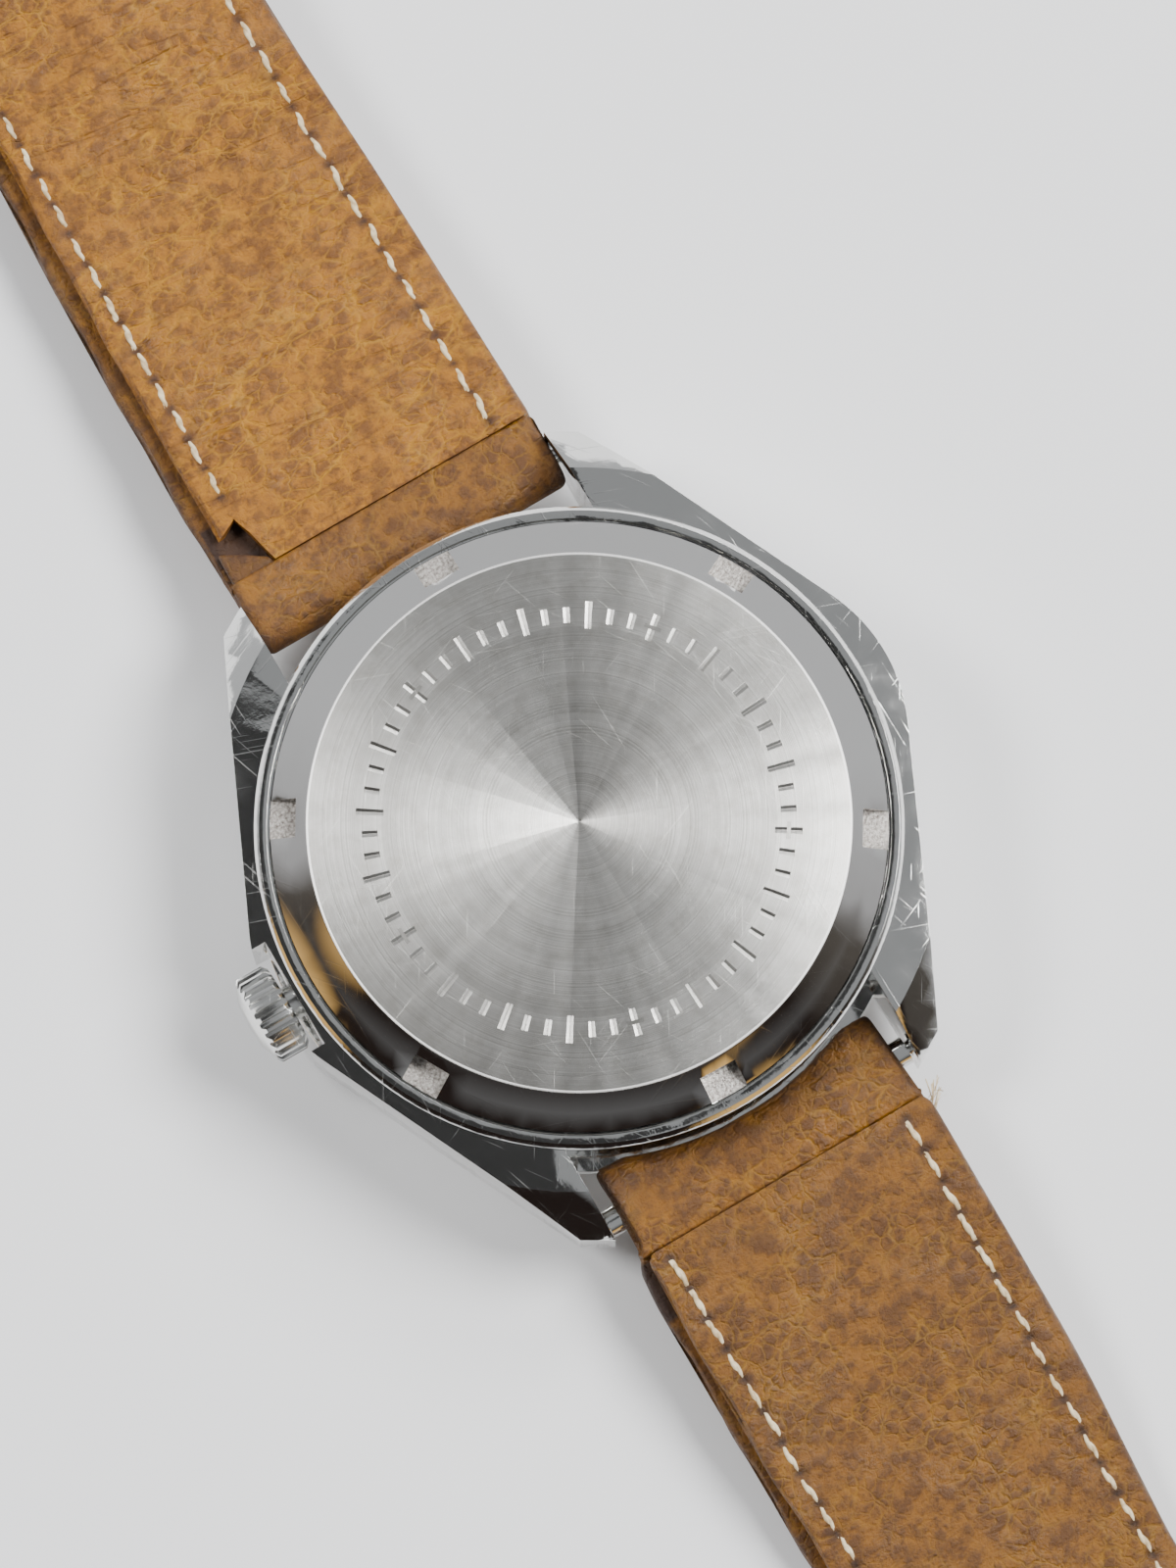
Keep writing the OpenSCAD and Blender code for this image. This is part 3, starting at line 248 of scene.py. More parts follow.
def attribute(tree, name):
    """A number kept on the mesh's points."""
    return add(tree, "ShaderNodeAttribute", attribute_name=name).outputs["Fac"]


def bump(tree, height, strength, distance, normal=None):
    """Relief over another relief; distance is in millimetres."""
    inputs = {"Height": height, "Strength": strength, "Distance": distance * MM}
    if normal is not None:
        inputs["Normal"] = normal
    return add(tree, "ShaderNodeBump", inputs).outputs["Normal"]


def streaks(tree, turn, stretch, scale, low):
    """Long straight scratches: the rare high values of a stretched noise."""
    vec = mm_coords(tree, (stretch, 1, 0), turn)
    n = noise_node(tree, vec, scale, 0.0, 0.5, 0.12)
    return map_range(tree, n, low, low + 0.05, 0.0, 1.0)


def scratches(tree, scale=8.0, low=0.765):
    """Several families of scratches laid over each other."""
    total = None
    for turn, stretch in SCRATCH_FAMILIES:
        lines = streaks(tree, turn, stretch, scale, low)
        total = lines if total is None else math_node(tree, "MAXIMUM", total, lines)
    return total


# ---- materials ----


def polished_steel(name, rough):
    """Worn polished steel: hairline scratches, small dents and dull patches."""
    mat, tree, bsdf = new_material(name, metallic=1.0)
    vec = mm_coords(tree)
    lines = scratches(tree)
    haze = noise_node(tree, vec, 0.5, 5.0)
    dents = noise_node(tree, vec, 2.2, 3.0)
    hazed = math_node(tree, "MULTIPLY", haze, 0.35)
    colour = mix(tree, hazed, STEEL_TINT, tuple(0.72 * c for c in STEEL_TINT))
    tree.links.new(colour, bsdf.inputs["Base Color"])
    base = map_range(tree, haze, 0.35, 0.7, rough * 0.6, rough * 1.7)
    rough_all = math_node(tree, "ADD", base, math_node(tree, "MULTIPLY", lines, 0.12))
    tree.links.new(rough_all, bsdf.inputs["Roughness"])
    normal = bump(tree, dents, 0.25, 0.02)
    normal = bump(tree, lines, 0.20, 0.008, normal)
    tree.links.new(normal, bsdf.inputs["Normal"])
    return mat


def distorted(tree, vec, amount, scale):
    """Coordinates pushed about by a noise, so that cells and lines run unevenly."""
    wobble = add(tree, "ShaderNodeTexNoise", {"Vector": vec, "Scale": scale, "Detail": 3.0}).outputs["Color"]
    centred = add(tree, "ShaderNodeVectorMath", {0: wobble, 1: (0.5, 0.5, 0.5)},
                  operation="SUBTRACT").outputs[0]
    pushed = add(tree, "ShaderNodeVectorMath", {0: centred, 3: amount}, operation="SCALE").outputs[0]
    return add(tree, "ShaderNodeVectorMath", {0: vec, 1: pushed}, operation="ADD").outputs[0]


def cell_lines(tree, vec, scale, width):
    """1 on the borders between random cells and 0 inside them."""
    cells = add(tree, "ShaderNodeTexVoronoi", {"Vector": vec, "Scale": scale}, feature="DISTANCE_TO_EDGE")
    return map_range(tree, cells.outputs["Distance"], 0.0, width, 1.0, 0.0)


def leather(name, stretch, fold, tint):
    """Grained tan leather: light creases round darker cells, fine grain, pits, rubbed shine.

    stretch sets the shape of the crease cells, fold the depth of the transverse wrinkles and their painted
    shade, and tint the brightness."""
    mat, tree, bsdf = new_material(name, specular_ior_level=0.6)
    vec = mm_coords(tree)
    cells_vec = distorted(tree, mm_coords(tree, stretch), 1.5, 0.7)
    lines = cell_lines(tree, cells_vec, 0.46, 0.060)
    fine_lines = cell_lines(tree, distorted(tree, mm_coords(tree, stretch), 0.5, 1.8), 1.25, 0.10)
    wrinkle_vec = distorted(tree, mm_coords(tree, (0.13, 1, 0.3), 0.10), 0.7, 0.7)
    wrinkles = cell_lines(tree, wrinkle_vec, 0.72, 0.06)
    gate = map_range(tree, noise_node(tree, vec, 0.30, 3.0), 0.38, 0.58, 0.15, 1.0)
    fade = map_range(tree, noise_node(tree, mm_coords(tree, (0.5, 1, 1)), 0.55, 2.0), 0.42, 0.60, 0.0, 1.0)
    wrinkles = math_node(tree, "MULTIPLY", wrinkles, fade)
    broad = noise_node(tree, vec, 0.20, 4.0, 0.6, 0.4)
    patch = noise_node(tree, vec, 1.05, 6.0, 0.68)
    grain = noise_node(tree, vec, 4.0, 6.0, 0.7)
    pits = add(tree, "ShaderNodeTexVoronoi", {"Vector": vec, "Scale": 0.42}, feature="F1").outputs["Distance"]
    dark = attribute(tree, "dark")
    all_lines = math_node(tree, "MAXIMUM", lines, math_node(tree, "MULTIPLY", fine_lines, 0.7))
    light_lines = math_node(tree, "MULTIPLY", all_lines, gate)
    colour = mix(tree, map_range(tree, patch, 0.43, 0.57, 0.0, 0.95), LEATHER_GOLD, LEATHER_CELL)
    colour = mix(tree, map_range(tree, broad, 0.45, 0.75, 0.0, 0.45), colour, LEATHER_CELL)
    colour = mix(tree, map_range(tree, grain, 0.50, 0.72, 0.0, 0.45), colour, LEATHER_DEEP)
    colour = mix(tree, math_node(tree, "MULTIPLY", light_lines, 0.6), colour, LEATHER_LINE)
    # Painted shade in the transverse wrinkles, as strong as their depth.
    colour = mix(tree, math_node(tree, "MULTIPLY", wrinkles, fold), colour, LEATHER_DEEP)
    colour = mix(tree, map_range(tree, pits, 0.05, 0.11, 0.7, 0.0), colour, LEATHER_DEEP)
    # The dark attribute darkens the leather: painted shade in the awl holes and the tear, and darker edges
    # and fold.
    colour = mix(tree, dark, colour, EDGE_AND_SHADE_BROWN)
    shade = add(tree, "ShaderNodeHueSaturation",
                {"Color": colour, "Value": tint, "Saturation": LEATHER_SATURATION})
    tree.links.new(shade.outputs["Color"], bsdf.inputs["Base Color"])
    rubbed = noise_node(tree, vec, 0.28, 3.0)
    gloss = map_range(tree, rubbed, 0.46, 0.62, 0.60, 0.26)
    rough = math_node(tree, "ADD", gloss, math_node(tree, "MULTIPLY", grain, 0.10))
    tree.links.new(rough, bsdf.inputs["Roughness"])
    normal = bump(tree, grain, 0.8, 0.12)
    normal = bump(tree, patch, 0.8, 0.45, normal)
    normal = bump(tree, math_node(tree, "SUBTRACT", 1.0, light_lines), 0.5, 0.15, normal)
    normal = bump(tree, math_node(tree, "SUBTRACT", 1.0, wrinkles), fold, 0.35, normal)
    tree.links.new(normal, bsdf.inputs["Normal"])
    return mat


def thread(name):
    """Cream twisted thread with darker dirt between its fibres."""
    mat, tree, bsdf = new_material(name, roughness=0.7)
    vec = mm_coords(tree)
    dirt = noise_node(tree, vec, 1.6, 4.0)
    fibres = noise_node(tree, mm_coords(tree, (6, 1, 6)), 3.0, 3.0)
    colour = ramp(tree, dirt, (0.35, THREAD_DIRTY), (0.6, THREAD_CREAM))
    tree.links.new(mix(tree, math_node(tree, "MULTIPLY", fibres, 0.3), colour, THREAD_FIBRE),
                   bsdf.inputs["Base Color"])
    tree.links.new(bump(tree, fibres, 0.5, 0.03), bsdf.inputs["Normal"])
    return mat


def plated(name, colour, rough=0.28):
    """A grained metal for the movement."""
    mat, tree, bsdf = new_material(name, metallic=1.0)
    vec = mm_coords(tree, (1, 0.15, 1))
    grain = noise_node(tree, vec, 4.0, 5.0)
    tree.links.new(mix(tree, math_node(tree, "MULTIPLY", grain, 0.5), colour, tuple(0.6 * c for c in colour)),
                   bsdf.inputs["Base Color"])
    tree.links.new(map_range(tree, grain, 0.3, 0.7, rough * 0.7, rough * 1.4), bsdf.inputs["Roughness"])
    tree.links.new(bump(tree, grain, 0.2, 0.01), bsdf.inputs["Normal"])
    return mat


def coated(name, colour, rough, speck=0.12):
    """A non-metal with slight colour variation, such as lacquer, rubber or ruby."""
    mat, tree, bsdf = new_material(name)
    vec = mm_coords(tree)
    grain = noise_node(tree, vec, 1.5, 6.0)
    speckled = mix(tree, math_node(tree, "MULTIPLY", grain, speck), colour, tuple(0.35 * c for c in colour))
    tree.links.new(speckled, bsdf.inputs["Base Color"])
    tree.links.new(map_range(tree, grain, 0.3, 0.7, rough * 0.85, rough * 1.15), bsdf.inputs["Roughness"])
    return mat


def crystal_glass(name):
    """Scratched acrylic."""
    mat, tree, bsdf = new_material(name, base_color=(0.95, 0.97, 0.97, 1), transmission_weight=1.0, ior=1.49)
    lines = scratches(tree, 8.0, 0.79)
    tree.links.new(map_range(tree, lines, 0, 1, 0.02, 0.25), bsdf.inputs["Roughness"])
    return mat


# ---- mesh helpers ----


def make_piece(name, verts_mm, faces, material, body, replaces, dark, sharp):
    """A mesh piece from millimetre vertices, riding on a body; dark is how far each vertex is darkened,
    partly as painted shade.
    """
    mesh = bpy.data.meshes.new(name)
    mesh.from_pydata((np.asarray(verts_mm, float) * MM).tolist(), [], faces)
    mesh.materials.append(material)
    if dark is not None:
        layer = mesh.attributes.new("dark", "FLOAT", "POINT")
        layer.data.foreach_set("value", np.asarray(dark, np.float32))
    mesh.polygons.foreach_set("use_smooth", [True] * len(mesh.polygons))
    mesh.set_sharp_from_angle(angle=math.radians(sharp))
    mesh.update()
    obj = bpy.data.objects.new(name, mesh)
    bpy.context.scene.collection.objects.link(obj)
    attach(obj, body)
    if replaces:
        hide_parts(*replaces)
    return obj


def grid_faces(rows, cols):
    """Quads between neighbouring rows of a grid whose columns close on themselves."""
    i = np.arange(rows - 1)[:, None]
    j = np.arange(cols)[None, :]
    a = i * cols + j
    b = i * cols + (j + 1) % cols
    return np.stack([a, b, b + cols, a + cols], -1).reshape(-1, 4).tolist()


def soften(node, width, segments=3, angle=30):
    """Rounds a CAD node's edges with modifiers and shades it smooth between them."""
    obj = NODES[node]
    weld = obj.modifiers.new("weld", "WELD")
    weld.merge_threshold = WELD_MM * MM
    edge = obj.modifiers.new("edge", "BEVEL")
    edge.width = width * MM
    edge.segments = segments
    edge.limit_method = "ANGLE"
    edge.angle_limit = math.radians(angle)
    edge.harden_normals = True
    obj.data.polygons.foreach_set("use_smooth", [True] * len(obj.data.polygons))


def paint(material, *nodes):
    """Gives CAD nodes a material."""
    for node in nodes:
        data = NODES[node].data
        data.materials.clear()
        data.materials.append(material)


# ---- straps ----


def half_width(y):
    """Half width of the strap at a distance from the watch's centre."""
    y = np.asarray(y, float)
    t = np.clip((y - BAR_Y - TAPER_START) / (TAPER_LEN - TAPER_START), 0, 1)
    flare = FLARE * smooth((BAR_Y + FLARE_LEN - y) / FLARE_LEN)
    return (STRAP_W - (STRAP_W - STRAP_END_W) * t) / 2 + flare


def pointed_half(y, tip):
    """Half width, closing to the tip on the strap that has holes."""
    half = half_width(y)
    if not tip:
        return half
    stops = [TIP_Y - TIP_LEN, TIP_Y - TIP_SHOULDER, TIP_Y]
    end = STRAP_END_W / 2
    return np.minimum(half, np.interp(y, stops, [end, end - TIP_SHOULDER_IN, TIP_HALF]))


def mid_height(y, to_table):
    """Middle of the strap's thickness along its length."""
    y = np.asarray(y, float)
    if to_table:
        return BAR_Z - (BAR_Z - STRAP_T / 2) * smooth((y - BAR_Y) / DROP_LEN)
    return BAR_Z - SAG * np.sin(np.pi * np.clip((y - BAR_Y) / SAG_LEN, 0, 1)) ** 2


def stitch_rows(to_table):
    """Distances of the stitches of one row from the watch's centre."""
    return np.arange(STITCH_START, STITCH_END_6 if to_table else STITCH_END_12, STITCH_PITCH)


def awl_holes(x, y, to_table):
    """1 in the awl holes between stitches, falling to 0 around them."""
    ys = stitch_rows(to_table) - (STITCH_PITCH - STITCH_LEN) / 2
    k = np.clip(np.round((y - ys[0]) / STITCH_PITCH), 0, len(ys) - 1)
    dy = y - (ys[0] + k * STITCH_PITCH)
    dx = np.abs(x) - (half_width(y) - STITCH_INSET)
    return np.exp(-((dy / AWL_LEN) ** 2) - (dx / AWL_WIDTH) ** 2)


def noise_at(points, scale, seed=0.0):
    """Blender noise from -1 to 1 at points in millimetres."""
    shift = Vector((seed, seed * 1.7, seed * 0.6))
    return np.array([noise.noise(Vector(p) * scale + shift) for p in points])


def edge_roll(t_half, half, radius):
    """How far the outline stands in near the strap's edges, for a rounded edge."""
    gap = np.clip(radius - (half - np.abs(t_half)), 0, radius)
    return radius - np.sqrt(np.maximum(radius ** 2 - gap ** 2, 0))


def columns(half, radius, pitch):
    """Positions across a strap, closer together where its edge rolls over."""
    inner = half - radius
    roll = inner + radius * np.sin(np.linspace(0, math.pi / 2, 6))[1:]
    middle = np.linspace(-inner, inner, int(2 * inner / pitch) + 1)
    return np.concatenate([-roll[::-1], middle, roll])


def profile_normals(path):
    """Unit outward normals of a closed side view that runs anticlockwise."""
    ahead = np.roll(path, -1, 0) - np.roll(path, 1, 0)
    normal = np.stack([ahead[:, 1], -ahead[:, 0]], 1)
    return normal / np.maximum(np.linalg.norm(normal, axis=1, keepdims=True), 1e-9)


def resample(path, pitch_at):
    """Points along a closed line, with a spacing that depends on the place."""
    out = []
    for a, b in zip(path, np.roll(path, -1, 0)):
        n = max(1, int(round(np.linalg.norm(b - a) / pitch_at((a + b) / 2))))
        out += [a + (b - a) * i / n for i in range(n)]
    return np.array(out)


def strap_pitch(point):
    """Finer mesh in the part of the strap near the watch, coarser beyond."""
    return MESH_PITCH if point[0] < COARSE_FROM_Y else COARSE_PITCH


def layer_side(y0, y1, low, high, to_table):
    """Side view of a flat layer with rounded ends, running anticlockwise."""
    ys = np.arange(y0, y1 + 0.01, SIDE_PITCH)
    ys[-1] = y1
    z = mid_height(ys, to_table)
    bottom = np.stack([ys, z + low], 1)
    top = np.stack([ys, z + high], 1)[::-1]
    return np.concatenate([bottom, top])


def sweep_layer(side, to_table, radius, inset, seed):
    """Vertices, faces and darkening of a layer, partly painted shade: its side view carried across the strap.

    radius rounds its long edges, and inset is how far each edge stands in."""
    side = resample(side, strap_pitch)
    normal = profile_normals(side)
    cols = columns(1.0, radius / (STRAP_W / 2), MESH_PITCH / (STRAP_W / 2))
    y, z = side[:, 0], side[:, 1]
    left, right = inset
    half = pointed_half(y, to_table) + edge_spread(y, to_table)
    rows = []
    for t in cols:
        cut = (left if t < 0 else right) * np.minimum(1, abs(t) * 1.5)
        x = t * (half - cut)
        x = x + 0.10 * np.sin(y * 0.9 + seed) * (abs(t) > 0.98) * (t < 0)
        roll = edge_roll(t, 1.0, radius / (STRAP_W / 2)) * (STRAP_W / 2)
        along = y - normal[:, 0] * roll - fold_reach(x, y, to_table)
        rows.append(np.stack([x, along, z - normal[:, 1] * roll], 1))
    verts = np.concatenate(rows)
    n_side, n_col = len(side), len(cols)
    dark, lift = skin_relief(verts, np.tile(normal[:, 1], n_col), to_table, seed)
    verts[:, 2] += lift
    faces = grid_faces(n_col, n_side)
    faces += [list(range(n_side))[::-1], list(range((n_col - 1) * n_side, n_col * n_side))]
    return verts, faces, dark


def fold_reach(x, y, to_table):
    """How far the soft fold is pressed from its spring bar towards the case, kept clear of the case."""
    room = BAR_Y - FOLD_R - np.sqrt(np.maximum(COLLAR_R ** 2 - x ** 2, 0)) - LAYER_GAP
    reach = FOLD_REACH_6 if to_table else FOLD_REACH_12
    return np.clip(room, 0, reach) * smooth((BAR_Y + FOLD_REACH_LEN - y) / FOLD_REACH_LEN)


def edge_spread(y, to_table):
    """How far the worn edges spread outwards past the lugs, on each side."""
    spread = SPREAD_6 if to_table else SPREAD_12
    begin = smooth((y - LUG_TIP_Y - SPREAD_START) / SPREAD_LEN)
    return spread * begin * smooth((SPREAD_END_Y - y) / SPREAD_FADE_LEN)


def skin_relief(verts, up, to_table, seed):
    """How dark each vertex of a layer is made, and how far it sinks: stitch holes (sunk, with painted shade),
    waves, darker edges, painted shade in the tear over the leather's darker inner side, and darker leather
    round the fold at the bar.

    up is the height part of each vertex's outward normal."""
    x, y, z = verts[:, 0], verts[:, 1], verts[:, 2]
    on_face = np.abs(up) > 0.5
    hole = awl_holes(x, y, to_table) * (y > STITCH_START - 0.6) * on_face
    wave = noise_at(verts, 0.22, seed) * 0.09 + noise_at(verts, 0.8, seed + 3) * 0.035
    wave = np.where(y > BAR_Y + 2, wave, 0) * on_face
    to_edge = pointed_half(y, to_table) + edge_spread(y, to_table) - np.abs(x)
    edge = np.clip(1 - to_edge / 0.55, 0, 1)
    under_tear = (x > TEAR_X[0]) & (x < TEAR_X[1]) & (y > FOLD_BACK_Y + LAYER_GAP) & (y < TEAR_TOP_Y)
    torn = under_tear & (up > 0.5) & (z < BAR_Z + 0.2)
    bend = 0.45 * smooth((BAR_Y + 1.2 - y) / 2.4) * (0.75 + 0.5 * noise_at(verts, 0.7, seed + 7))
    # Painted shade in the awl holes, and painted shade over the leather's darker inner side in the tear;
    # plain darkening near the edges and round the fold at the bar.
    dark = np.clip(hole * 1.2 + edge * 0.55 + torn * 0.9 + bend, 0, 1)
    return dark, np.sign(up) * (np.minimum(wave, 0.0) - AWL_DEPTH * hole)


def mirror_y(verts, faces):
    """Turns a 12 o'clock strap's mesh into a 6 o'clock one."""
    verts = verts * np.array([1, -1, 1])
    return verts, [list(f)[::-1] for f in faces]


def fold_side(to_table, y_end, loop):
    """Side view of the outer leather: cut end, fold round the bar, dial side, far end."""
    mid = mid_height([FOLD_BACK_Y], to_table)[0]
    back = [(FOLD_BACK_Y, mid + OUTER_T - STRAP_T / 2), (FOLD_BACK_Y, mid + STRAP_T / 2 - 0.12),
            (FOLD_BACK_Y - 0.12, mid + STRAP_T / 2)]
    arc = [(BAR_Y + FOLD_R * math.cos(a), BAR_Z + FOLD_R * math.sin(a))
           for a in np.linspace(math.radians(75), math.radians(270), 26)]
    ys = np.arange(BAR_Y + 1.0, y_end, SIDE_PITCH)
    under = list(zip(ys, mid_height(ys, to_table) - STRAP_T / 2))
    over = list(zip(ys[::-1], mid_height(ys[::-1], to_table) + OUTER_T - STRAP_T / 2))
    over = [p for p in over if p[0] > FOLD_BACK_Y - 0.3]
    end_z = float(mid_height([y_end], to_table)[0])
    end = [(y_end, end_z + d) for d in (-STRAP_T / 2 + 0.2, OUTER_T - STRAP_T / 2 - 0.2)]
    if loop:
        angles = np.linspace(math.radians(-75), math.radians(90 + 75), 20)
        end = [(BUCKLE_Y + FOLD_R * math.cos(a), BAR_Z + FOLD_R * math.sin(a)) for a in angles]
        over = [p for p in over if p[0] < BUCKLE_Y - 1.6]
        under = [p for p in under if p[0] < BUCKLE_Y]
    return np.array(back + arc + under + end + over, float)


def carve(obj, outline, z0, z1):
    """Cuts an upright prism with the given plan outline out of a piece."""
    n = len(outline)
    verts = [(x * MM, y * MM, z * MM) for z in (z0, z1) for x, y in outline]
    faces = [list(range(n))[::-1], list(range(n, 2 * n))]
    faces += [[i, (i + 1) % n, n + (i + 1) % n, n + i] for i in range(n)]
    mesh = bpy.data.meshes.new("cutter")
    mesh.from_pydata(verts, [], faces)
    cutter = bpy.data.objects.new("cutter", mesh)
    bpy.context.scene.collection.objects.link(cutter)
    mod = obj.modifiers.new("cut", "BOOLEAN")
    mod.object, mod.operation, mod.solver = cutter, "DIFFERENCE", "EXACT"
    graph = bpy.context.evaluated_depsgraph_get()
    made = bpy.data.meshes.new_from_object(obj.evaluated_get(graph))
    obj.modifiers.clear()
    obj.data = made
    bpy.data.objects.remove(cutter)


def round_hole(x, y, r):
    """Plan outline of a punched hole."""
    return [(x + r * math.cos(a), y + r * math.sin(a)) for a in np.linspace(0, 2 * math.pi, 33)[:-1]]


def strap_layer(name, side, to_table, radius, inset, seed, material, node):
    """One leather layer of a strap as a piece that stands for its CAD node."""
    verts, faces, dark = sweep_layer(side, to_table, radius, inset, seed)
    if to_table:
        verts, faces = mirror_y(verts, faces)
    body = "strap_6" if to_table else "strap_12"
    return make_piece(name, verts, faces, material, body, (node,), dark, 50)


def make_fold_corner(material):
    """The folded leather's uneven corner, which shows in the tear of the lining."""
    n = len(FOLD_CORNER)
    verts = [(x, y, float(mid_height([y], False)[0]) + d)
             for d in (0.1, STRAP_T / 2 - 0.06) for x, y in FOLD_CORNER]
    faces = [list(range(n)), list(range(n, 2 * n))[::-1]]
    faces += [[i, n + i, n + (i + 1) % n, (i + 1) % n] for i in range(n)]
    corner = make_piece("fold_corner", verts, faces, material, "strap_12", (),
                        [CORNER_DARK] * (2 * n), 40)
    edge = corner.modifiers.new("edge", "BEVEL")
    edge.width, edge.segments = CORNER_EDGE * MM, 3


def make_straps(outer_mat, skin_12_mat, skin_6_mat):
    """Both straps: outer leather folded at the bars, and the skin-side lining."""
    low, high = OUTER_T - STRAP_T / 2, STRAP_T / 2
    start = FOLD_BACK_Y + LAYER_GAP
    slot_box = [(x, y) for y, xs in ((BUCKLE_Y - SLOT_REACH, (-SLOT_HALF, SLOT_HALF)),
                                     (BUCKLE_Y + SLOT_REACH, (SLOT_HALF, -SLOT_HALF))) for x in xs]
    outer = strap_layer("strap_12_leather", fold_side(False, BUCKLE_Y, True), False,
                        OUTER_ROLL_12, (0, 0), 1.0, outer_mat, "strap_12_outer")
    carve(outer, slot_box, -2, 12)
    lining = strap_layer("strap_12_skin_leather", layer_side(start, BUCKLE_Y - 1.45, low, high, False), False,
                         LINING_ROLL, LINING_IN_12, 5.0, skin_12_mat, "strap_12_lining")
    carve(lining, slot_box, -2, 12)
    carve(lining, TEAR, BAR_Z - 2, BAR_Z + 3)
    make_fold_corner(outer_mat)
    outer_6 = strap_layer("strap_6_leather", fold_side(True, TIP_Y, False), True,
                          OUTER_ROLL_6, (0, 0), 9.0, outer_mat, "strap_6_outer")
    lining_6 = strap_layer("strap_6_skin_leather", layer_side(start, TIP_Y - 0.1, low, high, True), True,
                           LINING_ROLL, LINING_IN_6, 13.0, skin_6_mat, "strap_6_lining")
    for i in range(HOLE_COUNT):
        for piece in (outer_6, lining_6):
            carve(piece, round_hole(0, -(FIRST_HOLE_Y + i * HOLE_PITCH), HOLE_R), -1, 4)


def stitch_points(x0, y0, side, to_table, ply, lean):
    """Centre line of one ply of a stitch, diving into the holes at both ends."""
    s = np.linspace(-0.06, 1.06, PLY_STEPS)
    y = y0 + s * STITCH_LEN
    arch = np.sqrt(np.clip(np.sin(np.pi * np.clip(s, 0, 1)), 0, 1))
    z = mid_height(y, to_table) + side * (STRAP_T / 2 - STITCH_SINK + STITCH_ARCH * arch)
    turn = 2 * math.pi * (PLY_TURNS * s + 0.5 * ply)
    x = x0 + lean * (s - 0.5) + PLY_TURN_R * np.cos(turn)
    return np.stack([x, y, z + side * PLY_TURN_R * 0.6 * np.sin(turn)], 1)


def tube(points, radius, sides):
    """Rings of vertices around a line that runs mostly along Y, with its faces."""
    angle = np.linspace(0, 2 * math.pi, sides, endpoint=False)
    ring = np.stack([np.cos(angle), np.zeros(sides), np.sin(angle)], 1) * radius
    verts = (points[:, None, :] + ring[None]).reshape(-1, 3)
    faces = grid_faces(len(points), sides)
    faces = [f[::-1] for f in faces]
    faces += [list(range(sides)), list(range((len(points) - 1) * sides, len(points) * sides))[::-1]]
    return verts, faces


def make_stitching(name, to_table, material, node, seed):
    """Two rows of two-ply stitches on each face of a strap."""
    rng = np.random.default_rng(seed)
    verts, faces, count = [], [], 0
    for y0 in stitch_rows(to_table):
        for row in (-1, 1):
            for side in (-1, 1):
                if not to_table and row < 0 and side > 0 and y0 < TORN_STITCHES_Y:
                    continue
                x0 = row * (float(half_width(y0)) - STITCH_INSET) + rng.normal(0, 0.04)
                lean = rng.normal(0.16, 0.06)
                shift = rng.normal(0, 0.04)
                for ply in (0, 1):
                    line = stitch_points(x0, y0 + shift, side, to_table, ply, lean)
                    v, f = tube(line, PLY_R * rng.uniform(0.92, 1.08), PLY_SIDES)
                    verts.append(v)
                    faces += [[i + count for i in face] for face in f]
                    count += len(v)
    verts = np.concatenate(verts)
    if to_table:
        verts, faces = mirror_y(verts, faces)
        verts[:, 2] = np.maximum(verts[:, 2], 0.02)
    body = "strap_6" if to_table else "strap_12"
    make_piece(name, verts, faces, material, body, (node,), None, 80)


def loop_path(half, z0, z1, corner, steps=8):
    """Rounded rectangle in X and Z, anticlockwise, with its outward normals."""
    points, normals = [], []
    centres = [(half - corner, z0 + corner, -90), (half - corner, z1 - corner, 0),
               (-half + corner, z1 - corner, 90), (-half + corner, z0 + corner, 180)]
    for cx, cz, start in centres:
        for a in np.radians(np.linspace(start, start + 90, steps)):
            points.append((cx + corner * math.cos(a), cz + corner * math.sin(a)))
            normals.append((math.cos(a), math.sin(a)))
    return np.array(points), np.array(normals)


def band_section(length, thick, round_r, steps=5):
    """Rounded section of a keeper: distance along the strap and depth into the band."""
    points = []
    for cy, cd, start in ((length - round_r, round_r, -90), (length - round_r, thick - round_r, 0),
                          (round_r, thick - round_r, 90), (round_r, round_r, 180)):
        for a in np.radians(np.linspace(start, start + 90, steps)):
            points.append((cy + round_r * math.cos(a), cd + round_r * math.sin(a)))
    return np.array(points)


def make_keeper(name, node, body, material):
    """A leather loop with rounded edges that holds both straps together."""
    low, high = box_mm(node)
    path, normal = loop_path(high[0], low[2], high[2], KEEPER_CORNER)
    section = band_section(high[1] - low[1], KEEPER_T, KEEPER_ROUND)
    verts = [(p[0] - n[0] * d, low[1] + y, p[1] - n[1] * d) for p, n in zip(path, normal) for y, d in section]
    rows = grid_faces(len(path), len(section))
    last = (len(path) - 1) * len(section)
    join = [[last + j, last + (j + 1) % len(section), (j + 1) % len(section), j] for j in range(len(section))]
    edge = [0.7 if (y < 0.25 or y > high[1] - low[1] - 0.25) else 0.0 for _ in path for y, _ in section]
    faces = [f[::-1] for f in rows + join]
    make_piece(name, verts, faces, material, body, (node,), edge, 50)


